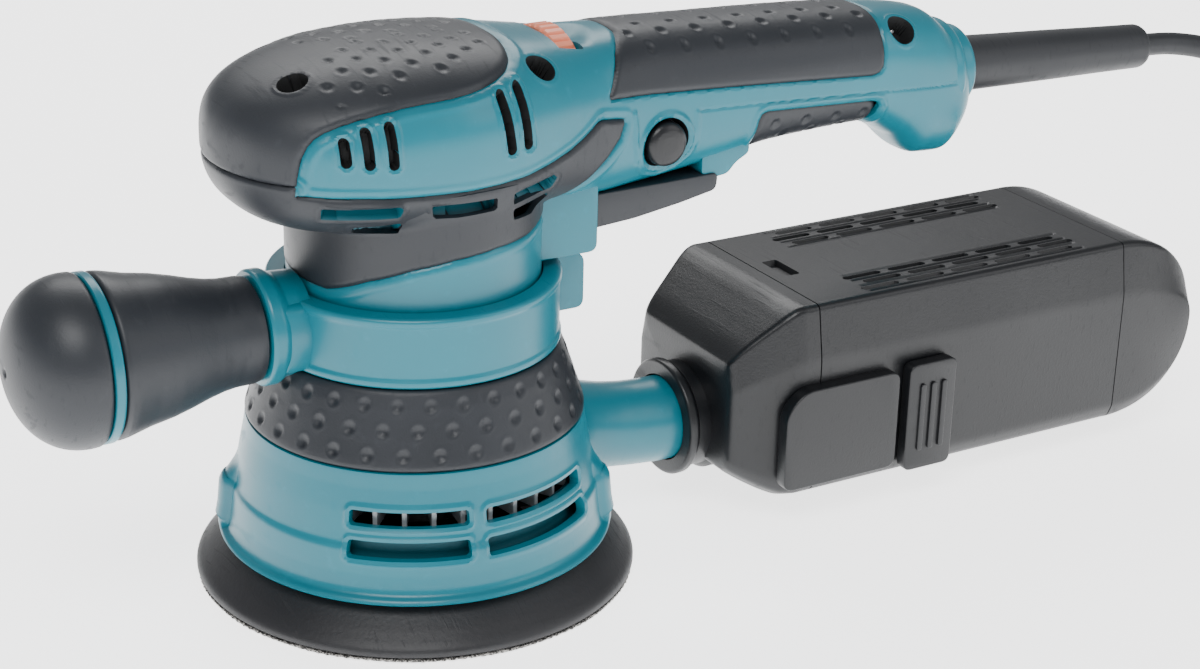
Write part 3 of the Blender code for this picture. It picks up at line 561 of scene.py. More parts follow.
LOOKS = {
    "teal_plastic": make_look("teal_plastic", (0.0017, 0.142, 0.192), (0.0025, 0.165, 0.218), (0.27, 0.36),
                              specular=0.45, coat=0.06),
    # A darker copy of the teal plastic: painted shade for the louvre floors and the skirt's inner and top
    # faces.
    "teal_painted_shade": make_look("teal_painted_shade", (0.001, 0.085, 0.115), (0.0015, 0.100, 0.135), (0.38, 0.50)),
    "black_plastic": make_look("black_plastic", (0.0062, 0.0068, 0.0082), (0.0092, 0.0098, 0.0115),
                               (0.30, 0.42), grain=(1500.0, 0.00008), specular=0.42),
    "soft_rubber": make_look("soft_rubber", (0.0135, 0.0160, 0.0205), (0.0175, 0.0205, 0.0260), (0.38, 0.50),
                             grain=(1700.0, 0.00006), specular=0.45),
    "cord_rubber": make_look("cord_rubber", (0.0120, 0.0135, 0.0165), (0.017, 0.0185, 0.022), (0.42, 0.55)),
    # Near-black painted shade for the floors of the slots, screw pits, lock hole and the dial's well.
    "painted_shade_black": make_look("painted_shade_black", (0.003, 0.0035, 0.004), (0.005, 0.0055, 0.006), (0.6, 0.8)),
    "dial_plastic": make_look("dial_plastic", (0.83, 0.26, 0.15), (0.87, 0.33, 0.22), (0.36, 0.46)),
    "foam": make_look("foam", (0.012, 0.012, 0.014), (0.018, 0.018, 0.020), (0.42, 0.58),
                      grain=(900.0, 0.00012)),
    "abrasive": make_speckled("abrasive", (0.035, 0.033, 0.032), (0.55, 0.53, 0.50), 1600.0),
    "filter_paper": make_speckled("filter_paper", (0.60, 0.55, 0.46), (0.72, 0.67, 0.58), 900.0),
    "carbon": make_look("carbon", (0.03, 0.03, 0.032), (0.05, 0.05, 0.052), (0.5, 0.65)),
    "steel": make_brushed("steel", (0.60, 0.61, 0.62), 0.30),
    "cast_alloy": make_brushed("cast_alloy", (0.66, 0.67, 0.68), 0.36),
    "blade_alloy": make_look("blade_alloy", (0.52, 0.53, 0.54), (0.44, 0.45, 0.46), (0.38, 0.5), 0.25),
    "copper": make_brushed("copper", (0.72, 0.36, 0.20), 0.34),
}


# ---- Head and handle ----

BODY_STATIONS = (
    (-57.2, 0.02, 131.02, 130.98),
    (-56.7, 4.5, 134.2, 126.6),
    (-55.4, 10.0, 138.0, 121.2),
    (-52.0, 18.5, 142.5, 115.5),
    (-45.0, 27.0, 146.8, 111.0),
    (-34.0, 33.5, 150.2, 108.0),
    (-20.0, 37.0, 152.6, 106.5),
    (-4.0, 37.5, 153.4, 106.0),
    (12.0, 35.5, 152.8, 106.0),
    (26.0, 31.0, 151.3, 106.0),
    (38.0, 26.5, 149.8, 105.0),
    (50.0, 22.5, 149.0, 103.5),
    (64.0, 20.2, 148.8, 104.5),
    (85.0, 19.3, 148.0, 107.0),
    (110.0, 19.0, 147.0, 110.5),
    (140.0, 18.5, 145.3, 111.5),
    (152.0, 18.0, 144.2, 106.0),
    (162.0, 17.0, 142.5, 98.5),
    (170.0, 15.5, 137.0, 98.0),
    (176.0, 13.0, 130.5, 104.0),
    (179.8, 8.0, 124.0, 111.0),
    (180.7, 2.0, 119.0, 116.0),
    (180.75, 0.02, 117.5, 117.4),
)
BODY_POWER = 2.6  # 2 is an ellipse, and more is squarer
HEAD_MIDDLE_Z = 130
HOUSING = ("housing_left", "housing_right")  # the two CAD nodes that the teal skins stand for
BODY_ROWS = 520
BODY_SIDES = 272
stations = np.array(BODY_STATIONS)
station_step = np.linalg.norm(np.diff(stations * np.array([1.0, 0.8, 0.6, 0.6]), axis=0), axis=1)
station_knots = np.concatenate([[0], np.cumsum(station_step)])

CAP_OUTLINE = (
    (-80.0, 125.5), (-45.3, 125.5), (-45.1, 127.5), (-44.7, 130.4), (-44.0, 133.2), (-42.7, 135.9),
    (-41.0, 137.9), (-38.6, 139.4), (-35.1, 140.8), (-30.4, 142.1), (-24.6, 143.3), (-18.7, 144.1),
    (-12.3, 144.5), (-5.9, 144.8), (0.4, 145.3), (5.2, 145.9), (10.0, 146.9), (13.8, 148.0), (17.1, 149.5),
    (18.9, 150.8), (20.0, 151.5), (20.4, 152.2), (20.6, 160.0), (-80.0, 160.0),
)
BAND_OUTLINE = (
    (-80.0, 125.5), (-45.3, 125.5), (-45.2, 123.2), (-41.3, 122.8), (-29.4, 122.2), (-14.3, 121.1),
    (-1.8, 120.5), (7.1, 120.6), (16.7, 121.2), (24.7, 122.6), (32.2, 124.6), (36.6, 126.4), (40.1, 128.3),
    (42.6, 129.8), (44.0, 130.0), (52.0, 128.6), (52.4, 127.6), (50.9, 123.4), (46.3, 118.2), (40.3, 113.2),
    (33.0, 108.4), (28.6, 104.6), (19.5, 103.1), (8.0, 103.0), (-5.1, 101.8), (-15.2, 99.8), (-25.0, 96.0),
    (-32.0, 91.6), (-80.0, 91.4),
)
GRIP_OUTLINE = (
    (57.8, 170.0), (57.5, 149.4), (57.0, 148.6), (55.2, 147.4), (52.6, 145.1), (50.4, 141.4), (48.6, 138.0),
    (47.2, 135.6), (47.6, 134.5), (69.9, 133.0), (99.1, 131.3), (130.0, 129.3), (136.5, 128.9),
    (139.0, 129.5), (140.4, 131.3), (140.7, 135.0), (140.8, 140.0), (141.5, 144.0), (142.6, 150.0),
    (142.6, 170.0),
)
TRIGGER_OUTLINE = (
    (98.2, 80.0), (98.2, 120.4), (98.9, 122.4), (100.6, 123.1), (137.6, 120.9), (139.9, 120.2),
    (141.0, 118.4), (141.2, 112.0), (141.2, 80.0),
)
SLOTS = (
    ((-34.7, 137.0), (-34.5, 132.2), 1.35),
    ((-29.4, 139.2), (-29.0, 131.4), 1.35),
    ((-23.5, 140.2), (-23.1, 131.0), 1.35),
    ((8.6, 143.4), (10.4, 130.0), 1.45),
    ((14.5, 144.4), (15.8, 130.4), 1.45),
)
LOUVRES = (
    ((-39.8, 120.1), (-20.9, 119.6), (-19.9, 118.6), (-20.1, 116.0), (-39.2, 116.8)),
    ((-31.0, 113.4), (-19.2, 113.9), (-18.3, 113.0), (-18.6, 110.2), (-28.5, 109.6)),
    ((-12.1, 118.3), (6.6, 117.6), (7.0, 114.0), (-4.4, 113.9), (-11.0, 114.3)),
    ((12.0, 117.6), (25.6, 119.6), (27.2, 118.4), (26.0, 115.4), (12.4, 114.1)),
    ((12.6, 112.6), (25.6, 113.6), (26.6, 112.2), (20.0, 109.0), (12.8, 109.6)),
)
SCREW_PITS = ((25.0, 22.2, 145.3, 4.6), (148.6, 13.6, 139.8, 4.7))
CAP_PIT = (-39.5, -13.0, 147.6, 4.1)
LOCK_CENTRE = (66.8, -20.0, 118.9)
LOCK_HOLE_R = 7.5
SEAM_ROUTE = ((76.9, 117.0), (76.8, 126.9), (99.4, 125.9), (130.1, 124.1), (161.3, 122.3), (170.0, 121.7))
LOCK_RIM = ((55.6, 129.4), (56.5, 120.5), (57.6, 114.5), (61.5, 110.3), (66.8, 108.8), (72.2, 110.4),
            (75.8, 114.2), (76.9, 117.6), (76.8, 126.6))
SKIN_WALL = 1.6  # depth of the wall behind each open edge of a skin
TRIGGER_SQUEEZE = (0.96, 0.855)  # along and across, so that the trigger swings inside the handle
TRIGGER_BACK_X = 141.0


def body_place(u, v):
    t = u * station_knots[-1] / (BODY_ROWS - 1)
    x, half, top, bottom = np.moveaxis(pchip(station_knots, stations, t), -1, 0)
    a = TAU * v / BODY_SIDES - math.pi / 2
    c, s = np.cos(a), np.sin(a)
    r = (np.abs(c) ** BODY_POWER + np.abs(s) ** BODY_POWER) ** (-1 / BODY_POWER)
    return np.stack([x, half * r * c, (top + bottom) / 2 + (top - bottom) / 2 * r * s], axis=-1)


def cap_field(p):
    return polygon_field(p[..., 0], p[..., 2], CAP_OUTLINE)


def band_field(p):
    return polygon_field(p[..., 0], p[..., 2], BAND_OUTLINE)


def grip_field(p):
    return polygon_field(p[..., 0], p[..., 2], GRIP_OUTLINE)


def trigger_field(p):
    return polygon_field(p[..., 0], p[..., 2], TRIGGER_OUTLINE)


def slot_field(p):
    found = np.full(p.shape[:-1], 1e3)
    for start, end, r in SLOTS:
        found = np.minimum(found, segment_distance(p[..., 0], p[..., 2], start, end) - r)
    return found


def louvre_field(p):
    found = np.full(p.shape[:-1], 1e3)
    for outline in LOUVRES:
        found = np.minimum(found, polygon_field(p[..., 0], p[..., 2], outline))
    return np.where(p[..., 2] < 125, found, 1e3)


def pit_field(p):
    mirrored = p * np.array([1.0, 0.0, 1.0]) + np.abs(p) * np.array([0.0, 1.0, 0.0])
    found = np.full(p.shape[:-1], 1e3)
    for x, y, z, r in SCREW_PITS:
        found = np.minimum(found, ball_field(mirrored, (x, y, z), r))
    return np.minimum(found, ball_field(p, CAP_PIT[:3], CAP_PIT[3]))


def lock_field(p):
    return ball_field(p, LOCK_CENTRE, LOCK_HOLE_R)


DIAL_OPENING = (39.5, 3.9, 14.5)  # middle x, half length, half width


def dial_field(p):
    x, half, wide = DIAL_OPENING
    found = np.maximum(np.abs(p[..., 0] - x) - half, np.abs(p[..., 1]) - wide)
    return np.where(p[..., 2] > 135, found, 1e3)


def recess_field(p):
    return np.minimum.reduce([slot_field(p), louvre_field(p), pit_field(p), lock_field(p), dial_field(p)])


def cap_dimples():
    rows = ((1.9, -17.0, 0, 4), (9.4, -16.7, -1, 4), (16.9, -16.2, -1, 3), (24.4, -15.6, -1, 2),
            (5.6, -22.7, 0, 4), (13.1, -22.2, -1, 4), (20.6, -22.0, -1, 3), (28.1, -21.6, -1, 1))
    places = [(x + 11.6 * n, y) for y, x, first, last in rows for n in range(first, last)]
    return [(x, y) for x, y in places if x < 16 - 0.012 * y * y and math.hypot(x + 39.5, y - 13) > 8]


def grip_dimples():
    rows = ((14.0, 63.9, 8), (9.0, 59.5, 8), (4.2, 65.5, 7))
    return [(x + 10.95 * n, y) for y, x, count in rows for n in range(count)]


DIMPLE_R = 1.55
TRIGGER_DIMPLES = ((104.4, 118.0), (115.6, 117.7), (126.8, 117.1), (137.2, 116.8), (109.0, 113.8),
                   (119.9, 113.4), (131.0, 113.2))


def dimple_depth(distance, radius=DIMPLE_R, depth=0.62):
    pit = -depth * eased(1.15 - distance / radius)
    rim = 0.07 * hat(distance, radius * 0.9, radius * 1.6)
    return pit + rim


def top_dimples(p, places):
    moved = np.zeros(p.shape[:-1])
    upper = p[..., 2] > 138
    for x, y in places:
        distance = np.hypot(p[..., 0] - x, np.abs(p[..., 1]) - y)
        near = upper & (distance < DIMPLE_R * 1.8)
        moved[near] += dimple_depth(distance[near])
    return moved


def groove(f, half=0.62, depth=0.62):
    return -depth * np.clip(1 - np.abs(f) / half, 0, 1)


def body_shape(p):
    """How far each point of the skin moves out: grooves, lips, recesses and dimples."""
    cap, band, grip, trigger = cap_field(p), band_field(p), grip_field(p), trigger_field(p)
    slot, louvre, pit, lock = slot_field(p), louvre_field(p), pit_field(p), lock_field(p)
    nose = p[..., 0] < -45.0
    moved = groove(cap, depth=0.7) + np.where(nose, 0, groove(band, depth=0.7))
    moved += groove(grip) + groove(trigger)
    upper = (p[..., 2] > 119) & (p[..., 0] < 44)
    teal = (cap > 0) & (band > 0)
    moved += np.where(teal, 0.42 * hat(cap, 0.7, 3.4), 0)
    moved += np.where(teal & upper, 0.42 * hat(band, 0.7, 3.4), 0)
    moved += np.where(teal & ~upper, 0.25 * hat(band, 0.7, 3.4), 0)
    moved += np.where(trigger > 0, 0.40 * hat(trigger, 0.8, 3.0), 0)
    inside = np.minimum.reduce([cap, band, grip])
    moved += 0.35 * eased(-inside / 1.6) * (inside < 0)
    moved += np.where(trigger < 0, 0.3 * eased(-trigger / 1.5), 0)
    moved += np.where(slot < -0.06, -4.0, 0.42 * hat(slot, 0.0, 1.5))
    slats = 1.3 * hat((p[..., 2] + 0.03 * p[..., 0]) % 2.6, 0.5, 2.1) * eased(-louvre - 0.3)
    moved += np.where(louvre < -0.06, -3.2 + slats, 0.30 * hat(louvre, 0.0, 1.5))
    moved += np.where(pit < -0.06, -5.5, 0.25 * hat(pit, 0.0, 1.4))
    moved += np.where(lock < -0.06, -4.5, 0.7 * hat(lock, -0.02, 2.2))
    rim = route_distance(p, LOCK_RIM)
    moved += np.where((p[..., 1] < 0) & (grip > 1), 0.55 * hat(rim, -1.1, 1.1) * (lock > 0.5), 0)
    seam = route_distance(p, SEAM_ROUTE)
    moved += np.where(trigger > 2.5, -0.38 * np.clip(1 - seam / 0.55, 0, 1), 0)
    moved += np.where(cap < -3, top_dimples(p, cap_dimples()), 0)
    moved += np.where(grip < -2, top_dimples(p, grip_dimples()), 0)
    for x, z in TRIGGER_DIMPLES:
        distance = np.hypot(p[..., 0] - x, p[..., 2] - z)
        moved += np.where(distance < 4, dimple_depth(distance, 1.7), 0)
    scoop = eased(1 - np.hypot((p[..., 0] - 43.5) / 8.5, p[..., 1] / 14.0)) * (p[..., 2] > 138)
    return moved - 3.6 * scoop


def build_body():
    fields = (cap_field, band_field, grip_field, trigger_field, recess_field)
    u, v = snapped(body_place, BODY_ROWS, BODY_SIDES, True, fields)
    rest = body_place(u, v)
    values = np.array([field(rest) for field in fields])
    faces = grid_faces(BODY_ROWS, BODY_SIDES, True, values)
    normals = grid_normals(rest, True)
    ring = BODY_ROWS // 3
    faces, normals = facing_out(faces, normals, normals[ring, :, 2] * (rest[ring, :, 2] - HEAD_MIDDLE_Z))
    shaped = rest + normals * body_shape(rest)[..., None]
    rest, shaped, normals = (a.reshape(-1, 3) for a in (rest, shaped, normals))
    flat = values.reshape(len(values), -1)
    cap, band, grip, trigger, _ = (flat[k][faces].mean(axis=1) for k in range(5))
    middle = rest[faces].mean(axis=1)
    openings = (slot_field, louvre_field, pit_field, lock_field, dial_field)
    slot, louvre, pit, lock, dial = (field(rest)[faces].mean(axis=1) for field in openings)
    # Slot, screw-pit and lock-hole floors (dark) get near-black painted shade; louvre floors (deep) get a
    # darker teal painted shade.
    dark = (slot < -0.03) | (pit < -0.03) | (lock < -0.03)
    deep = louvre < -0.03
    hidden = (dial < 0) | (np.hypot(middle[:, 0], middle[:, 1]) < 30) & (middle[:, 2] < 112)
    parts = {
        "cap_skin": (cap < 0) & ~dark & ~hidden,
        "band_skin": (band < 0) & (cap >= 0) & ~dark & ~deep & ~hidden,
        "grip_skin": (grip < 0) & ~hidden,
        "trigger_skin": (trigger < 0) & ~hidden,
    }
    rubber = parts["cap_skin"] | parts["band_skin"] | parts["grip_skin"] | parts["trigger_skin"]
    parts["body_skin"] = ~rubber & ~dark & ~deep & ~hidden
    parts["pit_floors"] = dark & ~hidden
    parts["louvre_floors"] = deep & ~hidden
    plan = (
        ("body_skin", "teal_plastic", "housing", HOUSING, None),
        ("cap_skin", "soft_rubber", "housing", ("head_cap",), None),
        ("band_skin", "soft_rubber", "housing", ("head_band",), None),
        ("grip_skin", "soft_rubber", "housing", ("grip_cover",), None),
        ("trigger_skin", "soft_rubber", "trigger_lever", ("trigger",), None),
        # Recess floors: painted shade, near-black and darker teal.
        ("pit_floors", "painted_shade_black", "housing", (), "black_plastic"),
        ("louvre_floors", "teal_painted_shade", "housing", (), "teal_plastic"),
    )
    sunk = shaped * np.array([TRIGGER_SQUEEZE[0], TRIGGER_SQUEEZE[1], 1.0])
    sunk[:, 0] += TRIGGER_BACK_X * (1 - TRIGGER_SQUEEZE[0])
    for name, look, body, nodes, slot_name in plan:
        skin = sunk if name == "trigger_skin" else shaped
        made, walled = with_walls(skin, faces[parts[name]], normals, SKIN_WALL)
        piece_of(name, made, walled, look, body, nodes)


NECK_R = 34.4
NECK_SIDES = 320
NECK_LOW, NECK_HIGH = 68.6, 120.0
NECK_ROWS = 96
BLEND = 5.0


def body_reach(azimuth, z):
    """Distance from the motor's axis to the head's skin, along an azimuth at a height."""
    reach = np.zeros(azimuth.shape)
    xs = stations[:, 0]
    for r in np.arange(1.0, 64.0, 0.5):
        x, y = r * np.cos(azimuth), np.abs(r * np.sin(azimuth))
        half, top, bottom = (np.interp(x, xs, stations[:, k]) for k in (1, 2, 3))
        middle, rise = (top + bottom) / 2, np.maximum((top - bottom) / 2, 0.1)
        level = (y / np.maximum(half, 0.1)) ** BODY_POWER + np.abs((z - middle) / rise) ** BODY_POWER
        reach = np.where((level < 1) & (x > xs[0]), r, reach)
    return reach


def neck_place(u, v):
    z = NECK_LOW + (NECK_HIGH - NECK_LOW) * u / (NECK_ROWS - 1)
    a = TAU * v / NECK_SIDES
    i, j = np.clip(u, 0, NECK_ROWS - 1), v % NECK_SIDES
    i0, j0 = np.floor(i).astype(int), np.floor(j).astype(int)
    i1, j1 = np.minimum(i0 + 1, NECK_ROWS - 1), (j0 + 1) % NECK_SIDES
    fi, fj = i - i0, j - j0
    j0 = j0 % NECK_SIDES
    r = ((neck_table[i0, j0] * (1 - fi) + neck_table[i1, j0] * fi) * (1 - fj)
         + (neck_table[i0, j1] * (1 - fi) + neck_table[i1, j1] * fi) * fj)
    return np.stack([r * np.cos(a), r * np.sin(a), z], axis=-1)


def make_neck_table():
    z, a = np.meshgrid(np.linspace(NECK_LOW, NECK_HIGH, NECK_ROWS), TAU * np.arange(NECK_SIDES) / NECK_SIDES,
                       indexing="ij")
    reach = body_reach(a, z)
    for _ in range(3):
        reach[:, :] = (np.roll(reach, 1, 1) + 2 * reach + np.roll(reach, -1, 1)) / 4
        reach[1:-1] = (reach[:-2] + 2 * reach[1:-1] + reach[2:]) / 4
    gap = np.abs(reach - NECK_R)
    blend = np.maximum(BLEND - gap, 0) / BLEND
    joined = np.maximum(np.minimum(reach, NECK_R + BLEND), NECK_R) + blend**2 * BLEND / 4
    return joined - 0.5 * eased((reach - NECK_R) / BLEND)


neck_table = make_neck_table()


def build_neck():
    fields = (band_field, louvre_field)
    u, v = snapped(neck_place, NECK_ROWS, NECK_SIDES, True, fields)
    rest = neck_place(u, v)
    values = np.array([field(rest) for field in fields])
    faces = grid_faces(NECK_ROWS, NECK_SIDES, True, values)
    normals = grid_normals(rest, True)
    faces, normals = facing_out(faces, normals, normals[5, :, :2] * rest[5, :, :2])
    edge = values[0]
    moved = groove(edge) + np.where(edge > 0, 0.25 * hat(edge, 0.7, 3.4), 0.3 * eased(-edge / 1.6))
    shaped = rest + normals * moved[..., None]
    shaped, normals = shaped.reshape(-1, 3), normals.reshape(-1, 3)
    band, louvre = (value.ravel()[faces].mean(axis=1) for value in values)
    for name, chosen, look, nodes in (
        ("neck_rubber", (band < 0) & (louvre > 0), "soft_rubber", ("head_band",)),
        ("neck_teal", (band >= 0) & (louvre > 0), "teal_plastic", HOUSING),
    ):
        made, walled = with_walls(shaped, faces[chosen], normals, SKIN_WALL)
        piece_of(name, made, walled, look, "housing", nodes)


BLOCK_SIDE = ((26.0, 91.0), (46.3, 91.0), (46.3, 111.0), (26.0, 111.0))
WEDGE_SIDE = ((45.5, 96.2), (60.0, 97.2), (75.0, 99.4), (86.5, 101.6), (87.0, 106.4), (70.0, 106.2),
              (45.5, 106.0))
LIP_SIDE = ((82.0, 106.2), (86.0, 104.9), (90.6, 105.4), (93.4, 108.4), (97.6, 110.6), (97.6, 115.0),
            (82.0, 115.0))


def build_handle_details():
    block = bevelled_prism("rear_block", BLOCK_SIDE, 2.5, (-18.7, 18.7), 2.2, segments=4)
    dress(block, "teal_plastic", "housing", HOUSING)
    wedge = bevelled_prism("wedge_skin", WEDGE_SIDE, 1.6, (-15.4, 15.4), 1.4, steps=3)
    dress(wedge, "soft_rubber", "housing", ("grip_wedge",))
    lip = bevelled_prism("trigger_lip", LIP_SIDE, 1.2, (-14.6, 14.6), 1.6, steps=3)
    dress(lip, "teal_plastic", "housing", HOUSING)
    ring = [(7.6, 179.6), (11.6, 179.6), (12.6, 178.6), (12.6, 174.6), (14.6, 173.8), (15.4, 172.4),
            (15.4, 166.0)]
    turned_piece("tail_ring", ring, "teal_plastic", "housing", HOUSING, "X", (0, 0, 122.2), 96, 0.6,
                 corner=0.8)


DIAL_AXIS_Z = 131.2
DIAL_RIBS = 40
WELL_SIDE = ((35.2, 134.0), (44.2, 134.0), (44.2, 146.0), (35.2, 146.0))


def build_dial():
    def ribs(p):
        y, z = p[..., 1], p[..., 2] - DIAL_AXIS_Z
        wave = np.cos(np.arctan2(z, y) * DIAL_RIBS)
        return np.where(np.hypot(z, y) > 18.9, -0.75 * eased((wave - 0.35) / 0.4), 0)

    outline = [(3.4, 36.4), (19.0, 36.4), (19.6, 37.0), (19.6, 42.0), (19.0, 42.6), (3.4, 42.6)]
    turned_piece("dial_skin", outline, "dial_plastic", "dial", ("speed_dial",), "X", (0, 0, DIAL_AXIS_Z),
                 480, 0.5, ribs)
    # A near-black box round the dial: painted shade in the well under it.
    well = solid_from("dial_well", lambda work: prism_into(work, WELL_SIDE, -16.0, 16.0), 0.0)
    del_faces_above(well, 145.9)
    dress(well, "painted_shade_black", "housing", ())


def del_faces_above(obj, z):
    work = bmesh.new()
    work.from_mesh(obj.data)
    gone = [f for f in work.faces if f.calc_center_median().z > z * MM - 1e-6]
    bmesh.ops.delete(work, geom=gone, context="FACES")
    work.to_mesh(obj.data)
    work.free()


def build_lock():
    x, _, z = LOCK_CENTRE
    outline = [(0.01, -21.7), (2.5, -21.65), (4.4, -21.4), (5.5, -20.9), (6.1, -20.2), (6.3, -19.4),
               (6.3, -13.0)]
    turned_piece("lock_skin", outline, "black_plastic", "lock", ("lock_button",), "Y", (x, 0, z), 72, 0.4)


def build_inside_looks():
    looks = {
        "box_filter": "filter_paper", "brush_left": "carbon", "brush_right": "carbon",
        "counterweight": "steel", "dial_axle": "steel", "grip_stud": "steel", "lower_bearing": "steel",
        "motor_armature": "copper", "motor_commutator": "copper", "motor_shaft": "steel",
        "motor_stator": "cast_alloy", "pad_bearing": "steel", "pad_plate": "black_plastic",
        "power_switch": "black_plastic", "skirt_screw_1": "steel", "skirt_screw_2": "steel",
        "skirt_screw_3": "steel", "skirt_screw_4": "steel", "speed_controller": "black_plastic",
        "upper_bearing": "steel",
    }
    for name, look in looks.items():
        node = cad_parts[name]
        node.data.materials.clear()
        node.data.materials.append(LOOKS[look])


def build_screws():
    """Screw heads at the bottom of their recesses, each with a shallow round dip in its middle."""
    for node, (x, z), reach, radius in (
        ("housing_screw_1", (25.0, 145.0), 15.5, 2.6),
        ("housing_screw_2", (148.6, 139.0), 8.6, 2.6),
        ("collar_bolt", (43.6, 79.0), 8.4, 3.3),
    ):
        line = [(0.01, 0.9 - reach), (1.1, 0.5 - reach), (1.5, -reach), (radius - 0.4, -reach),
                (radius, 0.5 - reach), (radius, 2.4 - reach), (1.7, 2.6 - reach), (1.7, reach - 1),
                (0.01, reach - 1)]
        turned_piece(node + "_skin", line, "steel", "housing", (node,), "Y", (x, 0, z), 48, 0.4)


def build_fan():
    """Radial blades under one disc, round a hub."""
    points, faces = [], []
    blades = 36
    for k in range(blades):
        a = TAU * k / blades
        c, s = math.cos(a), math.sin(a)
        base = len(points)
        for r, lean in ((14.0, -0.6), (44.6, -0.6), (44.6, 0.6), (14.0, 0.6)):
            for z in (31.0, 41.4):
                points.append((r * c - lean * s, r * s + lean * c, z))
        faces += [(base + i, base + j, base + k2) for i, j, k2 in (
            (0, 2, 3), (0, 3, 1), (2, 4, 5), (2, 5, 3), (4, 6, 7), (4, 7, 5), (6, 0, 1), (6, 1, 7),
            (0, 6, 4), (0, 4, 2), (1, 3, 5), (1, 5, 7))]
    piece_of("fan_blades", points, faces, "blade_alloy", "rotor", ("cooling_fan",))
    disc = [(6.0, 41.4), (44.6, 41.4), (44.8, 42.0), (44.6, 42.6), (6.0, 42.6)]
    turned_piece("fan_disc", disc, "blade_alloy", "rotor", ("cooling_fan",), step=0.8)
    hub = [(4.2, 30.6), (9.5, 30.6), (9.5, 42.6), (4.2, 42.6)]
    turned_piece("fan_hub", hub, "blade_alloy", "rotor", ("cooling_fan",), sides=48,
                 step=0.8)


# ---- Skirt, cone band, collar and front grip ----

SKIRT_LINE = (
    (51.6, 13.9), (54.0, 13.7), (54.8, 14.3), (54.4, 15.2), (52.9, 16.0), (52.3, 17.2), (51.6, 21.0),
    (51.0, 27.2), (50.5, 28.2), (50.0, 28.8), (49.6, 31.0), (48.5, 37.6), (47.2, 44.0), (46.6, 48.1),
    (45.6, 48.4), (43.6, 48.3),
)
SKIRT_SIDES = 560
SKIRT_SLOTS = (  # first and last azimuth, lowest and highest z
    (-137.0, -99.5, 33.8, 38.0), (-137.0, -99.5, 25.2, 30.0),
    (-94.0, -52.0, 33.4, 37.6), (-94.0, -52.0, 24.8, 29.6),
    (43.0, 80.0, 33.8, 38.0), (43.0, 80.0, 25.4, 30.0),
)
skirt_profile = dense_line(SKIRT_LINE, 0.6)


def skirt_place(u, v):
    return turned_points(skirt_profile, "Z", (0, 0, 0), u, v, SKIRT_SIDES)


def skirt_slot_field(p):
    azimuth = np.degrees(np.arctan2(p[..., 1], p[..., 0]))
    found = np.full(p.shape[:-1], 1e3)
    for start, end, low, high in SKIRT_SLOTS:
        middle, half = (start + end) / 2, math.radians((end - start) / 2) * 50.0
        along = np.radians(azimuth - middle) * 50.0
        q1, q2 = np.abs(along) - half + 1.0, np.abs(p[..., 2] - (low + high) / 2) - (high - low) / 2 + 1.0
        box = np.hypot(np.maximum(q1, 0), np.maximum(q2, 0)) + np.minimum(np.maximum(q1, q2), 0) - 1.0
        found = np.minimum(found, box)
    return np.where(np.hypot(p[..., 0], p[..., 1]) > 48, found, 1e3)


BOSSES = ((159.0, 50.5), (-31.0, 50.5), (31.0, 50.5))  # azimuth and radius of the screw bosses


def skirt_shape(p):
    f = skirt_slot_field(p)
    moved = 0.45 * hat(f, 0.1, 1.9)
    azimuth = np.degrees(np.arctan2(p[..., 1], p[..., 0]))
    for middle, r in BOSSES:
        across = np.radians((azimuth - middle + 180) % 360 - 180) * r
        round_part = np.sqrt(np.clip(1 - (across / 5.0) ** 2, 0, 1))
        height = eased((p[..., 2] - 14.6) / 1.6) * eased((36.0 - p[..., 2]) / 9.0)
        moved += 3.4 * round_part * height
    return moved


def build_skirt():
    rows = len(skirt_profile)
    u, v = snapped(skirt_place, rows, SKIRT_SIDES, True, (skirt_slot_field,))
    rest = skirt_place(u, v)
    values = np.array([skirt_slot_field(rest)])
    faces = grid_faces(rows, SKIRT_SIDES, True, values)
    normals = grid_normals(rest, True)
    faces, normals = facing_out(faces, normals, normals[rows // 2, :, :2] * rest[rows // 2, :, :2])
    shaped = (rest + normals * skirt_shape(rest)[..., None]).reshape(-1, 3)
    flat = values[0].ravel()[faces].mean(axis=1)
    made, walled = with_walls(shaped, faces[flat > 0], normals.reshape(-1, 3), 2.6)
    piece_of("skirt_skin", made, walled, "teal_plastic", "housing", ("skirt",))
    # The skirt's inner ring and top are darker teal: painted shade.
    inner = [(44.0, 13.8), (47.5, 15.5), (46.8, 21.0), (45.6, 24.4), (45.6, 31.0), (44.6, 31.6)]
    turned_piece("skirt_inner_ring", inner, "teal_painted_shade", "housing", ("skirt",), sides=96)
    top = [(40.0, 47.6), (36.8, 68.4), (11.0, 68.4)]
    turned_piece("skirt_top", top, "teal_painted_shade", "housing", ("skirt",), sides=96)


CONE_TURN = 12  # degrees between the dimples of a row
CONE_DIMPLES = ((65.0, -86.5), (58.8, -91.2), (52.7, -84.0))


def cone_shape(p):
    azimuth = np.degrees(np.arctan2(p[..., 1], p[..., 0]))
    r = np.hypot(p[..., 0], p[..., 1])
    moved = np.zeros(p.shape[:-1])
    for z, phase in CONE_DIMPLES:
        across = np.radians((azimuth - phase + CONE_TURN / 2) % CONE_TURN - CONE_TURN / 2) * r
        distance = np.hypot(across, (p[..., 2] - z) * 1.05)
        moved += np.where(distance < 4, dimple_depth(distance, 1.75, 0.7), 0)
    return moved


def build_cone():
    line = [(43.8, 48.6), (46.2, 48.7), (46.7, 49.3), (46.2, 51.0), (45.3, 53.6), (43.4, 59.2), (41.6, 64.6),
            (40.2, 68.0), (39.4, 68.7), (37.2, 68.7)]
    turned_piece("cone_skin", line, "soft_rubber", "housing", ("skirt_cone",), sides=440, step=0.6,
                 shape=cone_shape)


NOZZLE_ROWS = np.array([
    (34.0, 19.0, 15.5, 33.5), (44.0, 16.8, 14.2, 32.4), (50.0, 14.8, 13.4, 31.2), (56.0, 13.6, 12.9, 29.8),
    (62.0, 12.9, 12.6, 28.6), (70.0, 12.5, 12.5, 27.5), (78.0, 12.5, 12.5, 27.0), (94.8, 12.5, 12.5, 27.0),
])


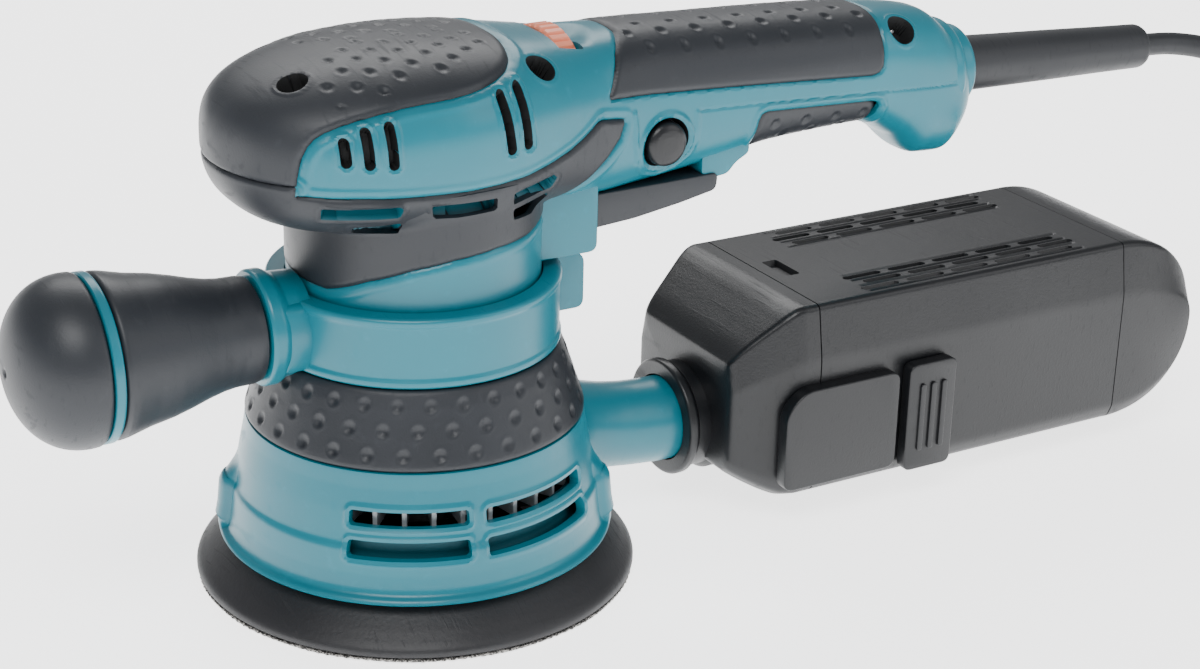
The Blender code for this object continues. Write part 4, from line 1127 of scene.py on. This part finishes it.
def build_nozzle():
    sides, rows = 96, 90
    x = np.linspace(NOZZLE_ROWS[0, 0], NOZZLE_ROWS[-1, 0], rows)
    wide, high, middle = pchip(NOZZLE_ROWS[:, 0], NOZZLE_ROWS[:, 1:], x).T
    a = TAU * np.arange(sides) / sides
    points = np.stack([
        np.repeat(x[:, None], sides, 1),
        wide[:, None] * np.cos(a),
        middle[:, None] + high[:, None] * np.sin(a),
    ], axis=-1)
    faces = grid_faces(rows, sides, True, np.ones((1, rows, sides)))
    normals = grid_normals(points, True)
    faces, normals = facing_out(faces, normals, normals[..., 1] * points[..., 1])
    made, walled = with_walls(points.reshape(-1, 3), faces, normals.reshape(-1, 3), 1.9)
    piece_of("nozzle_skin", made, walled, "teal_plastic", "housing", ("skirt",))


GRIP_CENTRE = (0, 0, 79.0)
SEAT_FRONT = ((-13.2, 69.3), (13.2, 69.3), (15.2, 79.0), (13.0, 88.3), (-13.0, 88.3), (-15.2, 79.0))
EAR_SIDE = ((34.8, 71.0), (48.0, 71.0), (48.0, 86.5), (34.8, 91.6))


def build_collar():
    line = [(34.9, 69.1), (39.3, 69.1), (40.0, 69.8), (40.0, 71.2), (39.5, 71.8), (39.5, 85.8), (40.0, 86.4),
            (40.0, 87.8), (39.3, 88.5), (34.9, 88.5)]
    turned_piece("collar_skin", line, "teal_plastic", "housing", ("grip_collar",), sides=200, step=0.5)
    seat = [(4.5, -47.5), (14.0, -47.5), (15.0, -47.4), (15.6, -46.7), (15.6, -43.8), (15.0, -42.6),
            (14.2, -41.4), (13.8, -35.0)]
    turned_piece("collar_flange", seat, "teal_plastic", "housing", ("grip_collar",), "X", GRIP_CENTRE, 96,
                 0.5)
    base = bevelled_prism("collar_seat", SEAT_FRONT, 3.0, (-43.4, -36.0), 1.4, "X")
    dress(base, "teal_plastic", "housing", ("grip_collar",))
    for name, side in (("ear_near", -1), ("ear_far", 1)):
        ear = bevelled_prism(name, EAR_SIDE, 2.5, sorted((side * 1.5, side * 9.0)), 1.2)
        dress(ear, "teal_plastic", "housing", ("grip_collar",))


def build_grip():
    handle = [(4.5, -89.2), (20.6, -89.2), (21.6, -88.9), (22.0, -88.2), (21.7, -86.0), (20.9, -82.8),
              (20.1, -79.7), (18.9, -73.0), (17.5, -67.6), (16.0, -62.6), (15.0, -58.4), (14.5, -54.8),
              (14.4, -50.0), (14.0, -48.2), (13.2, -47.9), (4.5, -47.9)]
    turned_piece("handle_skin", handle, "soft_rubber", "front_grip", ("grip_handle",), "X", GRIP_CENTRE, 128,
                 0.7)
    ring = [(4.5, -92.4), (21.9, -92.4), (22.3, -92.0), (22.3, -90.0), (21.9, -89.5), (4.5, -89.5)]
    turned_piece("ring_skin", ring, "teal_plastic", "front_grip", ("grip_ring",), "X", GRIP_CENTRE, 128, 0.4)
    dome = [(0.01, -113.45)]
    for t in np.linspace(0, 1, 40)[1:]:
        angle = t * math.pi / 2
        dome.append((22.7 * math.sin(angle) ** 0.92, -95.2 - 18.25 * math.cos(angle) ** 0.92))
    dome += [(22.6, -93.6), (22.2, -92.9), (4.5, -92.8)]

    def tip(p):
        distance = np.hypot(p[..., 1], p[..., 2] - GRIP_CENTRE[2])
        return np.where(p[..., 0] < -110, -1.1 * eased(1 - distance / 1.6), 0)

    turned_piece("dome_skin", dome, "soft_rubber", "front_grip", ("grip_dome",), "X", GRIP_CENTRE, 128, 0.6,
                 tip)


PAD_CENTRE = (0.7, 1.21, 0.0)
PAD_HOLES = 8
PAD_HOLE_R = 4.5
PAD_HOLE_RING_R = 32.5


def pad_hole_field(p):
    found = np.full(p.shape[:-1], 1e3)
    for k in range(PAD_HOLES):
        a = TAU * (k + 0.5) / PAD_HOLES
        x, y = PAD_CENTRE[0] + PAD_HOLE_RING_R * math.cos(a), PAD_CENTRE[1] + PAD_HOLE_RING_R * math.sin(a)
        found = np.minimum(found, np.hypot(p[..., 0] - x, p[..., 1] - y) - PAD_HOLE_R)
    return found


def drilled_disc(name, outline, look, node, sides, step, depth, shape=None):
    """A disc with the pad's dust holes in it. Each face carries half of every hole's wall."""
    profile = dense_line(outline, step)
    rows = len(profile)

    def place(u, v):
        return turned_points(profile, "Z", PAD_CENTRE, u, v, sides)
    u, v = snapped(place, rows, sides, True, (pad_hole_field,))
    rest = place(u, v)
    values = np.array([pad_hole_field(rest)])
    faces = grid_faces(rows, sides, True, values)
    normals = grid_normals(rest, True)
    faces, normals = facing_out(faces, normals, (rest - rest.reshape(-1, 3).mean(0)) * normals)
    moved = shape(rest) if shape else np.zeros(rest.shape[:-1])
    shaped = (rest + normals * moved[..., None]).reshape(-1, 3)
    solid = faces[values[0].ravel()[faces].mean(axis=1) > 0]
    made, walled = with_walls(shaped, solid, normals.reshape(-1, 3), depth)
    piece_of(name, made, walled, look, "pad", (node,))


def build_pad():
    def hooks(p):
        """Loose hook tips along the rim."""
        azimuth = np.arctan2(p[..., 1] - PAD_CENTRE[1], p[..., 0] - PAD_CENTRE[0])
        r = np.hypot(p[..., 0] - PAD_CENTRE[0], p[..., 1] - PAD_CENTRE[1])
        ragged = np.sin(azimuth * 173) * np.sin(azimuth * 61 + p[..., 2] * 5) * np.sin(azimuth * 97 + 1)
        return np.where(r > 58, -0.25 + 0.25 * ragged, 0)
    face = [(0.01, 0.05), (60.9, 0.05), (61.4, 0.3), (61.45, 1.0), (61.1, 1.3), (0.01, 1.3)]
    drilled_disc("hook_skin", face, "abrasive", "hook_face", 480, 0.8, 0.6, hooks)
    cushion = [(0.01, 1.45), (61.0, 1.45), (61.5, 1.9), (61.5, 3.0), (61.1, 3.8), (60.2, 4.8), (57.4, 7.2),
               (54.6, 9.4), (52.4, 11.2), (51.2, 12.0), (0.01, 12.0)]
    drilled_disc("cushion_skin", cushion, "foam", "pad_cushion", 400, 0.7, 5.2)


# ---- Dust box ----

BOX_ROWS = 190
BOX_SIDES = 400
BOX_FRONT, BOX_BACK = 114.0, 228.1
BOX_LOW, BOX_HIGH = 6.6, 67.0
INLET_Z, INLET_R = 27.0, 14.8


def around(values, at):
    """Values of a closed ring, read at positions between its points."""
    count = len(values)
    return np.interp(at % count, np.arange(count + 1), np.append(values, values[0]))


def make_box_ring():
    """The box seen from the front, as (y, z) points at an even step."""
    half = [(0.0, BOX_HIGH), (29.2, BOX_HIGH), (30.4, 66.2), (33.0, 50.6), (33.0, 13.2), (31.2, 9.0),
            (26.4, BOX_LOW), (0.0, BOX_LOW)]
    outline = half + [(-y, z) for y, z in reversed(half[1:-1])]
    ring = dense_line(rounded(outline, 1.5, 4), 0.3, closed=True)
    along = np.linspace(0, len(ring), BOX_SIDES, endpoint=False)
    return np.column_stack([around(ring[:, c], along) for c in (0, 1)])


box_ring = make_box_ring()
BOX_SLOT_ROWS = (-25.2, -20.6, -16.0, 16.0, 20.6, 25.2)
BOX_SLOT_X = (142.0, 158.5, 175.0, 191.5, 208.0)
SLOT_HALF, SLOT_R = 5.6, 1.15


def box_place(u, v):
    x = BOX_FRONT + (BOX_BACK - BOX_FRONT) * u / (BOX_ROWS - 1)
    return np.stack([x, around(box_ring[:, 0], v), around(box_ring[:, 1], v)], axis=-1)


def box_slot_field(p):
    found = np.full(p.shape[:-1], 1e3)
    for n, y in enumerate(BOX_SLOT_ROWS):
        lean = 1.0 if n % 2 else -3.0
        for x in BOX_SLOT_X:
            start, end = (x + lean - SLOT_HALF, y), (x + lean + SLOT_HALF, y)
            found = np.minimum(found, segment_distance(p[..., 0], p[..., 1], start, end) - SLOT_R)
    latch = np.maximum(np.abs(p[..., 0] - 121.0) - 2.6, np.abs(p[..., 1]) - 6.5)
    return np.where(p[..., 2] > 60, np.minimum(found, latch), 1e3)


def box_groove_field(p):
    """Long shallow flutes between the slot rows."""
    found = np.full(p.shape[:-1], 1e3)
    for y in (-27.4, -22.9, -18.3, -13.9, 13.9, 18.3, 22.9, 27.4):
        found = np.minimum(found, segment_distance(p[..., 0], p[..., 1], (134.0, y), (214.0, y)))
    return np.where(p[..., 2] > 60, found, 1e3)


def build_box_body():
    u, v = snapped(box_place, BOX_ROWS, BOX_SIDES, True, (box_slot_field,))
    rest = box_place(u, v)
    values = np.array([box_slot_field(rest)])
    faces = grid_faces(BOX_ROWS, BOX_SIDES, True, values)
    normals = grid_normals(rest, True)
    faces, normals = facing_out(faces, normals, normals[..., 1] * rest[..., 1])
    moved = np.where(values[0] < -0.06, -1.7, 0.0)
    moved -= 0.45 * np.clip(1 - box_groove_field(rest) / 0.7, 0, 1)
    shaped = (rest + normals * moved[..., None]).reshape(-1, 3)
    made, walled = with_walls(shaped, faces, normals.reshape(-1, 3), 2.2)
    piece_of("box_skin", made, walled, "black_plastic", "dust_bin", ("box_body",), sharp=32)


END_X, END_LENGTH = 228.3, 32.0


def build_box_end():
    rows = 90
    turn = np.linspace(0, math.pi / 2, rows)
    x = END_X + END_LENGTH * np.sin(turn)
    tall = np.cos(turn) ** 0.86
    wide = 1.004 - 0.09 * np.sin(turn) ** 3
    middle = 36.8
    points = np.stack([
        np.repeat(x[:, None], BOX_SIDES, 1),
        box_ring[None, :, 0] * wide[:, None],
        middle + (box_ring[None, :, 1] - middle) * tall[:, None],
    ], axis=-1)
    faces = grid_faces(rows, BOX_SIDES, True, np.ones((1, rows, BOX_SIDES)))
    normals = grid_normals(points, True)
    faces, normals = facing_out(faces, normals, normals[..., 1] * points[..., 1])
    made, walled = with_walls(points.reshape(-1, 3), faces, normals.reshape(-1, 3), 2.0)
    piece_of("end_skin", made, walled, "black_plastic", "dust_bin", ("box_end",), sharp=32)


COVER_ROWS = np.array([  # x, width and lowest and highest z
    (88.0, 0.70, 20.0, 48.0), (88.3, 0.74, 17.5, 50.5), (89.4, 0.78, 16.0, 52.2), (92.0, 0.82, 14.0, 55.0),
    (97.0, 0.88, 10.8, 59.2), (101.0, 0.93, 8.6, 62.4), (104.4, 0.97, 7.2, 65.0), (107.0, 0.99, 6.8, 66.5),
    (109.4, 1.0, 6.6, 67.0), (113.6, 1.0, 6.6, 67.0),
])


WING_SIDE = ((100.2, 13.2), (140.0, 13.2), (140.0, 43.8), (106.0, 43.8), (100.2, 38.0))


def build_cover():
    """The front cover: its front is a blunt wedge that the inlet sleeve enters."""
    rows = 70
    along = np.concatenate([[0], np.cumsum(np.hypot(np.diff(COVER_ROWS[:, 0]), np.diff(COVER_ROWS[:, 3])))])
    x, wide, low, high = pchip(along, COVER_ROWS, np.linspace(0, along[-1], rows)).T
    level = (box_ring[:, 1] - BOX_LOW) / (BOX_HIGH - BOX_LOW)
    points = np.stack([
        np.repeat(x[:, None], BOX_SIDES, 1),
        box_ring[None, :, 0] * wide[:, None],
        low[:, None] + level[None, :] * (high - low)[:, None],
    ], axis=-1)
    inner = points[:1] * np.array([1.0, 0.0, 0.0]) + np.array([0.0, 0.0, INLET_Z])
    circle = points[:1] - inner
    circle[..., 0] = 0
    circle = circle / np.linalg.norm(circle, axis=-1, keepdims=True) * INLET_R
    rim = np.minimum(np.linalg.norm(points[:1] - inner, axis=-1, keepdims=True), INLET_R)
    face = inner + circle * rim / INLET_R
    points = np.concatenate([face + np.array([3.0, 0, 0]), face, points])
    rows += 2
    faces = grid_faces(rows, BOX_SIDES, True, np.ones((1, rows, BOX_SIDES)))
    normals = grid_normals(points, True)
    faces, normals = facing_out(faces, normals, normals[5:, :, 1] * points[5:, :, 1])
    made, walled = with_walls(points.reshape(-1, 3), faces, normals.reshape(-1, 3), 1.8)
    piece_of("cover_skin", made, walled, "black_plastic", "dust_inlet", ("box_cover",), sharp=32)
    for number, side in ((1, -1), (2, 1)):
        ends = sorted((side * 32.6, side * 36.9))
        wing = bevelled_prism(f"wing_{number}", WING_SIDE, 3.5, ends, 1.9, steps=5, segments=5)
        dress(wing, "black_plastic", "dust_inlet", ("box_cover",))


LATCH_SIDE = ((143.2, 10.7), (160.3, 10.7), (160.3, 44.8), (143.2, 44.8))
LATCH_RIBS = (148.0, 151.9, 155.8)


def build_latches():
    for name, body, side in (("latch_left", "catch_left", -1), ("latch_right", "catch_right", 1)):
        ends = sorted((side * 33.4, side * 37.4))
        plate = bevelled_prism(name + "_plate", LATCH_SIDE, 2.6, ends, 1.2)
        dress(plate, "black_plastic", body, (name,))
        for number, x in enumerate(LATCH_RIBS, 1):
            rib_side = ((x - 0.9, 17.0), (x + 0.9, 17.0), (x + 0.9, 38.5), (x - 0.9, 38.5))
            ends = sorted((side * 36.6, side * 38.15))
            rib = bevelled_prism(f"{name}_rib_{number}", rib_side, 0.85, ends, 0.55, steps=3)
            dress(rib, "black_plastic", body, (name,))


def build_sleeve():
    line = [(13.0, 80.2), (16.8, 80.2), (17.4, 80.8), (17.4, 82.8), (16.8, 83.5), (15.9, 84.2), (15.9, 90.2),
            (16.7, 90.8), (17.4, 91.6), (17.4, 95.8), (16.8, 96.5), (14.7, 96.6), (14.7, 102.5)]
    turned_piece("sleeve_skin", line, "black_plastic", "dust_inlet", ("inlet_sleeve",), "X",
                 (0, 0, INLET_Z), 128, 0.4)


# ---- Cord guard, cord and plug ----


GUARD_LINE = (
    (170.0, 7.8), (178.0, 8.0), (181.4, 8.3), (184.0, 8.35), (195.0, 8.1), (216.0, 7.7), (236.0, 7.2),
    (252.4, 6.9), (253.5, 6.3), (253.6, 4.0),
)
GUARD_START = (172.0, 122.6)  # x and z of the axis, which falls towards the cord
GUARD_FALL = 3.5 / 81.7


def build_guard():
    x, radius = dense_line(GUARD_LINE, 0.8).T[..., None]
    sides = 72
    a = TAU * np.arange(sides) / sides
    middle = GUARD_START[1] - (x - GUARD_START[0]) * GUARD_FALL
    points = np.stack([np.repeat(x, sides, 1), radius * np.cos(a), middle + radius * np.sin(a)], axis=-1)
    faces = grid_faces(len(x), sides, True, np.ones((1, len(x), sides)))
    normals = grid_normals(points, True)
    faces, _ = facing_out(faces, normals, normals[..., 1] * points[..., 1])
    piece_of("guard_skin", points.reshape(-1, 3), faces, "cord_rubber", "housing", ("cord_guard",))


def build_cord():
    free, turns = cord_line()
    line = np.vstack([free, turns])
    length = np.sum(np.linalg.norm(np.diff(line, axis=0), axis=1)) * MM
    curve = bpy.data.curves.new("cord_line", "CURVE")
    curve.dimensions = "3D"
    spline = curve.splines.new("NURBS")
    spline.points.add(len(line) - 1)
    for made, place in zip(spline.points, line):
        made.co = (*(place * MM).tolist(), 1.0)
    spline.use_endpoint_u = True
    spline.order_u = 3
    curve.bevel_depth = CORD_D / 2
    curve.bevel_resolution = 4
    curve.use_fill_caps = True
    curve.materials.append(LOOKS["cord_rubber"])
    cord = bpy.data.objects.new("cord_line", curve)
    bpy.context.scene.collection.objects.link(cord)
    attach(cord, "housing")
    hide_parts("cord", "cord_coil")
    plug = build_plug()
    return length


PLUG_Y = 45.3  # from the coil's centre to the start of the plug
PLUG_Z = 11.6
PLUG_LINE = (
    (4.0, -2.0), (5.2, 0.4), (5.2, 12.0), (6.6, 13.4), (9.6, 16.8), (11.0, 22.0), (11.4, 26.0), (11.4, 37.2),
    (10.8, 37.9), (0.01, 38.0),
)
PIN_LINE = ((0.01, 36.0), (2.3, 36.0), (2.4, 55.8), (1.6, 57.0), (0.01, 57.2))


def build_plug():
    x, y = COIL_CENTRE[0], COIL_CENTRE[1] + PLUG_Y

    def grooves(p):
        along = p[..., 1] - y
        return np.where((along > 1) & (along < 12), -0.9 * hat((along - 1) % 3.6, 0.4, 2.2), 0)

    plug = turned_piece("plug_skin", PLUG_LINE, "cord_rubber", "housing", ("plug",), "Y", (x, y, PLUG_Z), 72,
                        0.5, grooves)
    for name, across in (("pin_a", -7.0), ("pin_b", 7.0)):
        turned_piece(name, PIN_LINE, "steel", "housing", ("plug",), "Y", (x + across, y, PLUG_Z), 32, 0.5)
    return plug


make_camera()
make_stage()
build_cord()
build_inside_looks()
build_body()
build_neck()
build_handle_details()
build_dial()
build_lock()
build_screws()
build_fan()
build_skirt()
build_cone()
build_nozzle()
build_collar()
build_grip()
build_pad()
build_box_body()
build_box_end()
build_cover()
build_latches()
build_sleeve()
build_guard()
